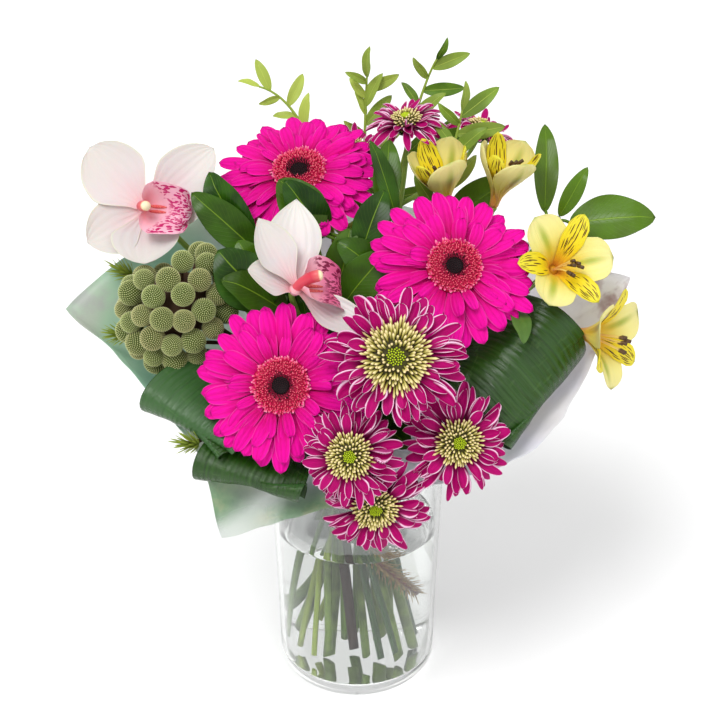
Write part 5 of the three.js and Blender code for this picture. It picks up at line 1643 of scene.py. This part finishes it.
# %% Alstroemeria stems
OVARY = [(0, -33), (1.8, -32.5), (2.7, -30), (2.5, -28), (0, -27.6)]
NARROW_LEAF = ((101, -24, 303), (106, -58, 296), (0.3, -0.3, 0.9), 7, 2, 0.87)
for name, place, foot, fork, pair, leaf in (
        ("right", (-6, 14.6), 36, 0.5, ALSTROEMERIAS[:2], NARROW_LEAF),
        ("back", (25, 7.6), 28, 0.6, ALSTROEMERIAS[2:], None)):
    stem = Gathering()
    line, upper = stem_line(place, foot, behind(pair[0], 29), pair[0]["facing"])
    add_tube(stem, line, np.linspace(2.4, 2.0, len(line)), 12, tint=0.4, slant=0.6)
    branch = shoot(on(upper, fork), behind(pair[1], 48), behind(pair[1], 29))
    add_tube(stem, branch, np.linspace(1.8, 1.5, len(branch)), 10, tint=0.4)
    for bloom in pair:
        stem.add(lathe(OVARY, 16), mark=(0.2, 0.4, 1), tint=0.2, bloom=bloom)
    if leaf:
        root, tip, face, half, arch, share = leaf
        leaf_stalk(stem, upper, share, np.array(root, float), np.array(tip, float), 8, 0.4)
        grid, mark = leaf_blade(root, tip, face, half, arch)
        stem.add(grid, mark * [0.2, 1, 1], 0.9)
    make_piece(f"alstroemeria_{name}_stalk", stem, green_stem, "green_stem", f"alstroemeria_{name}_stem")

# %% [markdown]
# Four twigs rise over the bunch with small leaves in turn on their two sides. The leaves get shorter
# towards the tip, and sines of the leaf's number turn and tilt each one a little.

# %% Twigs with small fresh leaves
TWIGS = {
    "left": ((140, 14.6), 18, (-68, 132, 392), (-0.95, -0.12, 0.3), 66, 12, 25, 0.7),
    "middle": ((75, 7.6), 30, (7, 130, 400), (0.05, -0.35, 1), 60, 17, 27, 0.4),
    "right": ((106, 14.6), 16, (55, 130, 413), (0.4, -0.3, 0.9), 60, 12, 29, 0.0),
    "long": ((50, 14.6), 32, (70, 74, 398), (0.1, 0, 1), 30, 12, 33, 0.12),
}
GUIDE, THINNING, SPREAD = np.array([0, -0.87, 0.5]), 20, 44
for name, (place, foot, head, facing, lead, count, size, pale) in TWIGS.items():
    twig = Gathering()
    line, upper = stem_line(place, foot, head, facing, lead=lead)
    thick = np.concatenate([np.full(len(line) - THINNING, 1.6), np.linspace(1.6, 0.7, THINNING)])
    add_tube(twig, line, thick, 10, tint=0.35, slant=0.7)
    pull = along(upper)
    for i in range(count):
        t = 0.5 + 0.5 * (i / (count - 1)) ** 0.9
        root, way = on(upper, t), on(pull, t)
        side = unit(np.cross(way, GUIDE))
        angle = np.radians(0 if i == count - 1 else (SPREAD, -SPREAD)[i % 2] + 22 * np.sin(4.1 * i))
        lean = unit(way * np.cos(angle) + side * np.sin(angle) + GUIDE * 0.25 * np.cos(2.1 * i))
        length = size * (1 - 0.25 * i / count) * (1 + 0.22 * np.sin(3.3 * i))
        face, tip = GUIDE + 0.7 * side * np.sin(1.9 * i), root + lean * length
        leaf = leaf_blade(root - lean, tip, face, 0.17 * length, 1.4, 17, 9, wave=0.3, seed=i)
        twig.add(*leaf, pale + 0.5 * chance.uniform() ** 1.5)
    make_piece(f"twig_{name}_sprig", twig, fresh_leaf, "fresh_green_leaf", f"twig_{name}")

# %% [markdown]
# ## Wrapping sheet and tie
#
# The bunch is wrapped in one sheet of thin frosted plastic. It is gathered at the tie, where it closes
# in on the stems in pleats, and flares out from there to an uneven edge with pointed corners. Below the
# tie it makes a short skirt in the neck of the vase. Each point of the edge is x, y, z and how far the
# sheet swells on the way there.

# %% The edge of the sheet
TIE_INNER, BAND = 25.4, 6.0
SHEET_EDGE = [
    (181, 14, 304, -10), (158, 48, 294, -10), (125, 82, 294, -10), (82, 108, 300, -12),
    (32, 122, 306, -12), (-18, 122, 314, -14), (-60, 106, 324, -16), (-94, 80, 330, -16),
    (-128, 54, 322, -13), (-158, 32, 308, -11), (-193, 8, 284, -9), (-160, -16, 265, -9),
    (-130, -46, 245, -17), (-112, -66, 234, -13), (-98, -81, 220, -6), (-86, -105, 179, 5),
    (-54, -100, 186, 5), (-20, -95, 194, 4), (20, -88, 200, 2), (60, -84, 208, -1), (94, -84, 220, -6),
    (115, -76, 228, -9), (134, -56, 240, -11), (152, -26, 256, -12), (168, 0, 280, -11),
]
PER_EDGE, FLARE = 12, 30


def closed_line(points, per_point):
    """A Catmull-Rom line that runs round and meets itself, with its corners kept rather sharp."""
    points = np.asarray(points, float)
    count = len(points)
    i = np.repeat(np.arange(count), per_point)
    t = np.tile(np.arange(per_point) / per_point, count)[:, None]
    a, b, c, d = (points[(i + k) % count] for k in (-1, 0, 1, 2))
    return 0.35 * catmull_rom(a, b, c, d, t) + 0.65 * (b + (c - b) * t)


edge = closed_line(SHEET_EDGE, PER_EDGE)
steps = np.linalg.norm(np.roll(edge[:, :3], -1, 0) - edge[:, :3], axis=1)
print("the sheet's edge is", round(float(steps.sum())), "mm long")

# %% [markdown]
# The surface is rows of points from the skirt's hem up to that edge, and each point keeps its bearing.
# Sines of the bearing fold it: the skirt is a few rings whose pleats get deeper towards the hem.

# %% The skirt of the sheet
SKIRT = [(49, 124.5), (41, 146), (34, 166), (28, 180), (25.4, 186)]
HEM, SKIRT_HIGH = 124.5, 62

bearing = np.arctan2(edge[:, 1], edge[:, 0])
out, _ = around(bearing)
turn = np.unwrap(bearing)
pleats = 0.6 * np.sin(34 * turn) + 0.4 * np.sin(53 * turn + 1.0) + 0.35 * np.sin(21 * turn + 2.0)

rows = []
for radius, height in SKIRT:
    deep = 0.8 * (1 - (height - HEM) / SKIRT_HIGH)
    wavy = (pleats + 1.3 * np.sin(9 * turn)) * (deep * 0.62 + 0.18) * (1 if radius > TIE_INNER + 0.6 else 0.3)
    rows.append(out * (radius + wavy)[:, None] + UP * height)
print("the skirt has", len(rows), "rings of", len(bearing), "points")

# %% [markdown]
# Between tie and edge a row is a share of the way, swollen by a soft curve. The pleats die out towards
# the edge into a few broad waves.

# %% The flare of the sheet
waist = out * TIE_INNER + UP * (TIE_HEIGHT + BAND / 2 + 1)
for share in np.linspace(0, 1, FLARE) ** 1.25:
    point = waist + (edge[:, :3] - waist) * share**1.1
    swell = 4 * edge[:, 3] * share * (1 - share)
    gathered = 3.2 * np.sin(PI * min(share * 1.6, 1)) * (1 - share) + 0.7 * share
    folds = pleats * gathered * min(1, share * 9)
    broad = (1.5 * np.sin(7 * turn + 0.6) + 1.0 * np.sin(12 * turn)) * np.sin(PI * share)
    rows.append(point + UP * (swell + folds * 0.75 + broad)[:, None] - out * (folds * 0.4)[:, None])
surface = np.stack(rows)
print("sheet grid", surface.shape)

# %% [markdown]
# The film is frosted: some light goes straight through it, some is scattered through, and some is
# scattered back. So three shaders are mixed. It is printed in soft clouds of mint, green and lilac on
# its left, nearly white elsewhere, with a mottled rose corner on the right. Where it is gathered in the
# neck of the vase it is wet and lets the stems show through.

# %% The print of the sheet
frosted = Finish("wrapping_sheet", roughness=0.32, specular_ior_level=0.35)
x, y, z = frosted.millimetres()
clouds = frosted.noise(9.0, 3.0)
paint = frosted.noise(24.0, 5.0, 0.62)
mottle = frosted.noise(30.0, 4.0, 0.65)
film = frosted.ramp(clouds, (0.3, 238, 246, 242), (0.5, 240, 238, 246), (0.7, 246, 242, 232))
mint = frosted.ramp(clouds, (0.38, 128, 190, 158), (0.52, 176, 208, 176), (0.66, 206, 196, 196))
film = frosted.mix(x.step(-50, -130) * 0.9, film, mint)
flap = frosted.ramp(paint, (0.3, 40, 112, 72), (0.5, 122, 166, 116), (0.68, 204, 200, 158))
film = frosted.mix(y.step(-50, -95) * z.step(250, 200) * x.step(60, -20) * 0.9, film, flap)
lilac = (paint + x.step(-150, -185) * 0.3).step(0.68, 0.85)
film = frosted.mix(lilac * x.step(-60, -120) * 0.45, film, (190, 172, 188))
film = frosted.mix(x.step(140, 176) * mottle.step(0.4, 0.6) * 0.85, film, (146, 88, 86))
print("the film's print takes", len(frosted.tree.nodes), "nodes")

# %% [markdown]
# The creases are noise that is stretched up the sheet. A third of the light is let through scattered,
# and a little more goes straight through, most of it where the film is wet.

# %% The film of the sheet
creases = frosted.joined(frosted.marks()[0] * 60.0, frosted.marks()[1] * 3.0, 0.0)
frosted.bump(frosted.noise(1.0, 3.0, 0.6, creases) + clouds, 0.0012, 0.5)
frosted.set(base_color=film)
clear = frosted.node("ShaderNodeBsdfTransparent", {0: (1, 1, 1, 1)})
glow = frosted.node("ShaderNodeBsdfTranslucent", {0: film})
open_share = clouds * 0.1 + 0.12 + z.step(196, 180) * 0.64
film_finish = frosted.show(frosted.blend(open_share, frosted.blend(0.35, frosted.body, glow), clear))

# %% [markdown]
# The sheet needs a thickness, so its far side is the same surface moved along its own normal.

# %% The sheet as one body with two sides
def sheet_of(surface):
    """Gives a surface that is closed round an even thickness: the far side is the point less its normal
    times 0.4. The two sides meet at the lower and the upper edge."""
    round_way = np.roll(surface, -1, 1) - np.roll(surface, 1, 1)
    up_way = np.gradient(surface, axis=0)
    inner = surface - unit(np.cross(round_way, up_way)) * 0.4
    return np.concatenate([surface, inner[::-1]])


wrap = Gathering()
body_rows = sheet_of(surface)
way_up = np.linspace(0, 1, len(surface))
mark = np.zeros((*body_rows.shape[:2], 3))
mark[..., 0] = np.sin(turn * 0.5)
mark[..., 1] = np.concatenate([way_up, way_up[::-1]])[:, None]
wrap.add(body_rows, mark, ends="round")
wrap_piece = make_piece("wrapping", wrap, film_finish, "translucent_frosted_sheet", "wrap_sheet")

# %% [markdown]
# A lilac ribbon holds the sheet and the stems. It is a flat band with rounded edges, turned round the
# tie, with a slight ripple from the pleats under it.

# %% The tie
RIBBON = [(26.1, -3.0), (26.5, -3.1), (27.4, -2.9), (27.6, -1.2), (27.5, 0), (27.6, 1.2), (27.4, 2.9),
          (26.5, 3.1), (26.1, 3.0), (26.1, 0)]
ribbon = Finish("ribbon", roughness=0.4, specular_ior_level=0.4, sheen_weight=0.2)
ribbon_finish = ribbon.set(base_color=ribbon.mix(ribbon.noise(80.0), (222, 206, 236), (240, 232, 246)))
band = Gathering()
band.add(lathe(RIBBON, 96, lambda a: 1 + 0.006 * np.sin(24 * a)) + UP * TIE_HEIGHT, ends="round")
make_piece("ribbon_band", band, ribbon_finish, "ribbon", "tie")

# %% [markdown]
# ## Vase and water
#
# The vase is one profile turned about its axis: a thick foot, a wall that opens slightly, and a rounded
# lip. The water is its own body inside it and stands a little way up the glass at its rim. Both are
# clear, so what their finishes need is only the right refractive index.

# %% A finish for clear bodies
GLASS_INDEX, WATER_INDEX = 1.45, 1.333


def clear_finish(name, tone, ior):
    """A clear body that bends what is seen through it by its index. Light on its way from a lamp goes
    straight through, so that what stands in it is as light as in a bright room."""
    clear = Finish(name, base_color=tone, roughness=0.0, transmission_weight=1.0, ior=ior)
    straight = clear.node("ShaderNodeBsdfTransparent", {0: (1, 1, 1, 1)})
    lamp_light = clear.node("ShaderNodeLightPath", output="Is Shadow Ray")
    return clear.show(clear.blend(lamp_light, clear.body, straight))


glass = clear_finish("glass", (0.99, 0.998, 0.994, 1), GLASS_INDEX)
clear_water = clear_finish("water", (0.985, 0.998, 0.985, 1), WATER_INDEX)
print("glass bends light by", GLASS_INDEX, "and water by", WATER_INDEX)

# %% [markdown]
# The vase's profile goes up the outside, over the lip and down the inside to the floor, in millimetres
# of radius and height. A smooth line through it gives soft corners without a bevel, as on blown glass.

# %% The vase
VASE = [
    (0, 0), (36, 0), (44, 0), (48.6, 1.1), (52, 3.9), (54.4, 8), (55.5, 13), (56.2, 50), (57.4, 86),
    (58.5, 121), (59.6, 154), (60.5, 183.2), (60.2, 184.5), (59.4, 185), (58.3, 184.7), (57.6, 183.4),
    (56.6, 154), (55.5, 121), (54.4, 86), (53.2, 50), (52.5, 17), (51.4, 13.9), (49, 11.8), (45.5, 11),
    (30, 11), (0, 11),
]
vase = Gathering()
vase.add(lathe(through(VASE, 140), 144))
make_piece("glass_vase", vase, glass, "clear_glass", "vase")

# %% [markdown]
# The water fills the vase up to two thirds. Its side stands a little off the glass, so that two clear
# surfaces never lie in the same place, and its top edge climbs up a little, as water does at glass.

# %% The water
WATER = [
    (0, 11.2), (30, 11.2), (45.5, 11.2), (48.8, 12.0), (51.2, 14.0), (52.3, 17.1), (53.0, 50), (54.2, 86),
    (55.2, 117), (55.3, 121.6), (54.9, 121.7), (53.6, 121.1), (51, 120.8), (40, 120.7), (0, 120.7),
]
water = Gathering()
water.add(lathe(through(WATER, 110), 128))
make_piece("vase_water", water, clear_water, "clear_water", "water")

# %% [markdown]
# The real sheet was cut flat, as a square of 36 centimetres, before it was drawn up round the stems. Its
# diagonal is the way over the tie from corner to corner. The measured area of one side should be near
# that of the flat square, because film folds but doesn't stretch.

wrap_area = sum(face.area for face in wrap_piece.data.polygons) / 2
print("sheet area, one side, m2:", round(wrap_area, 4))

# %% [markdown]
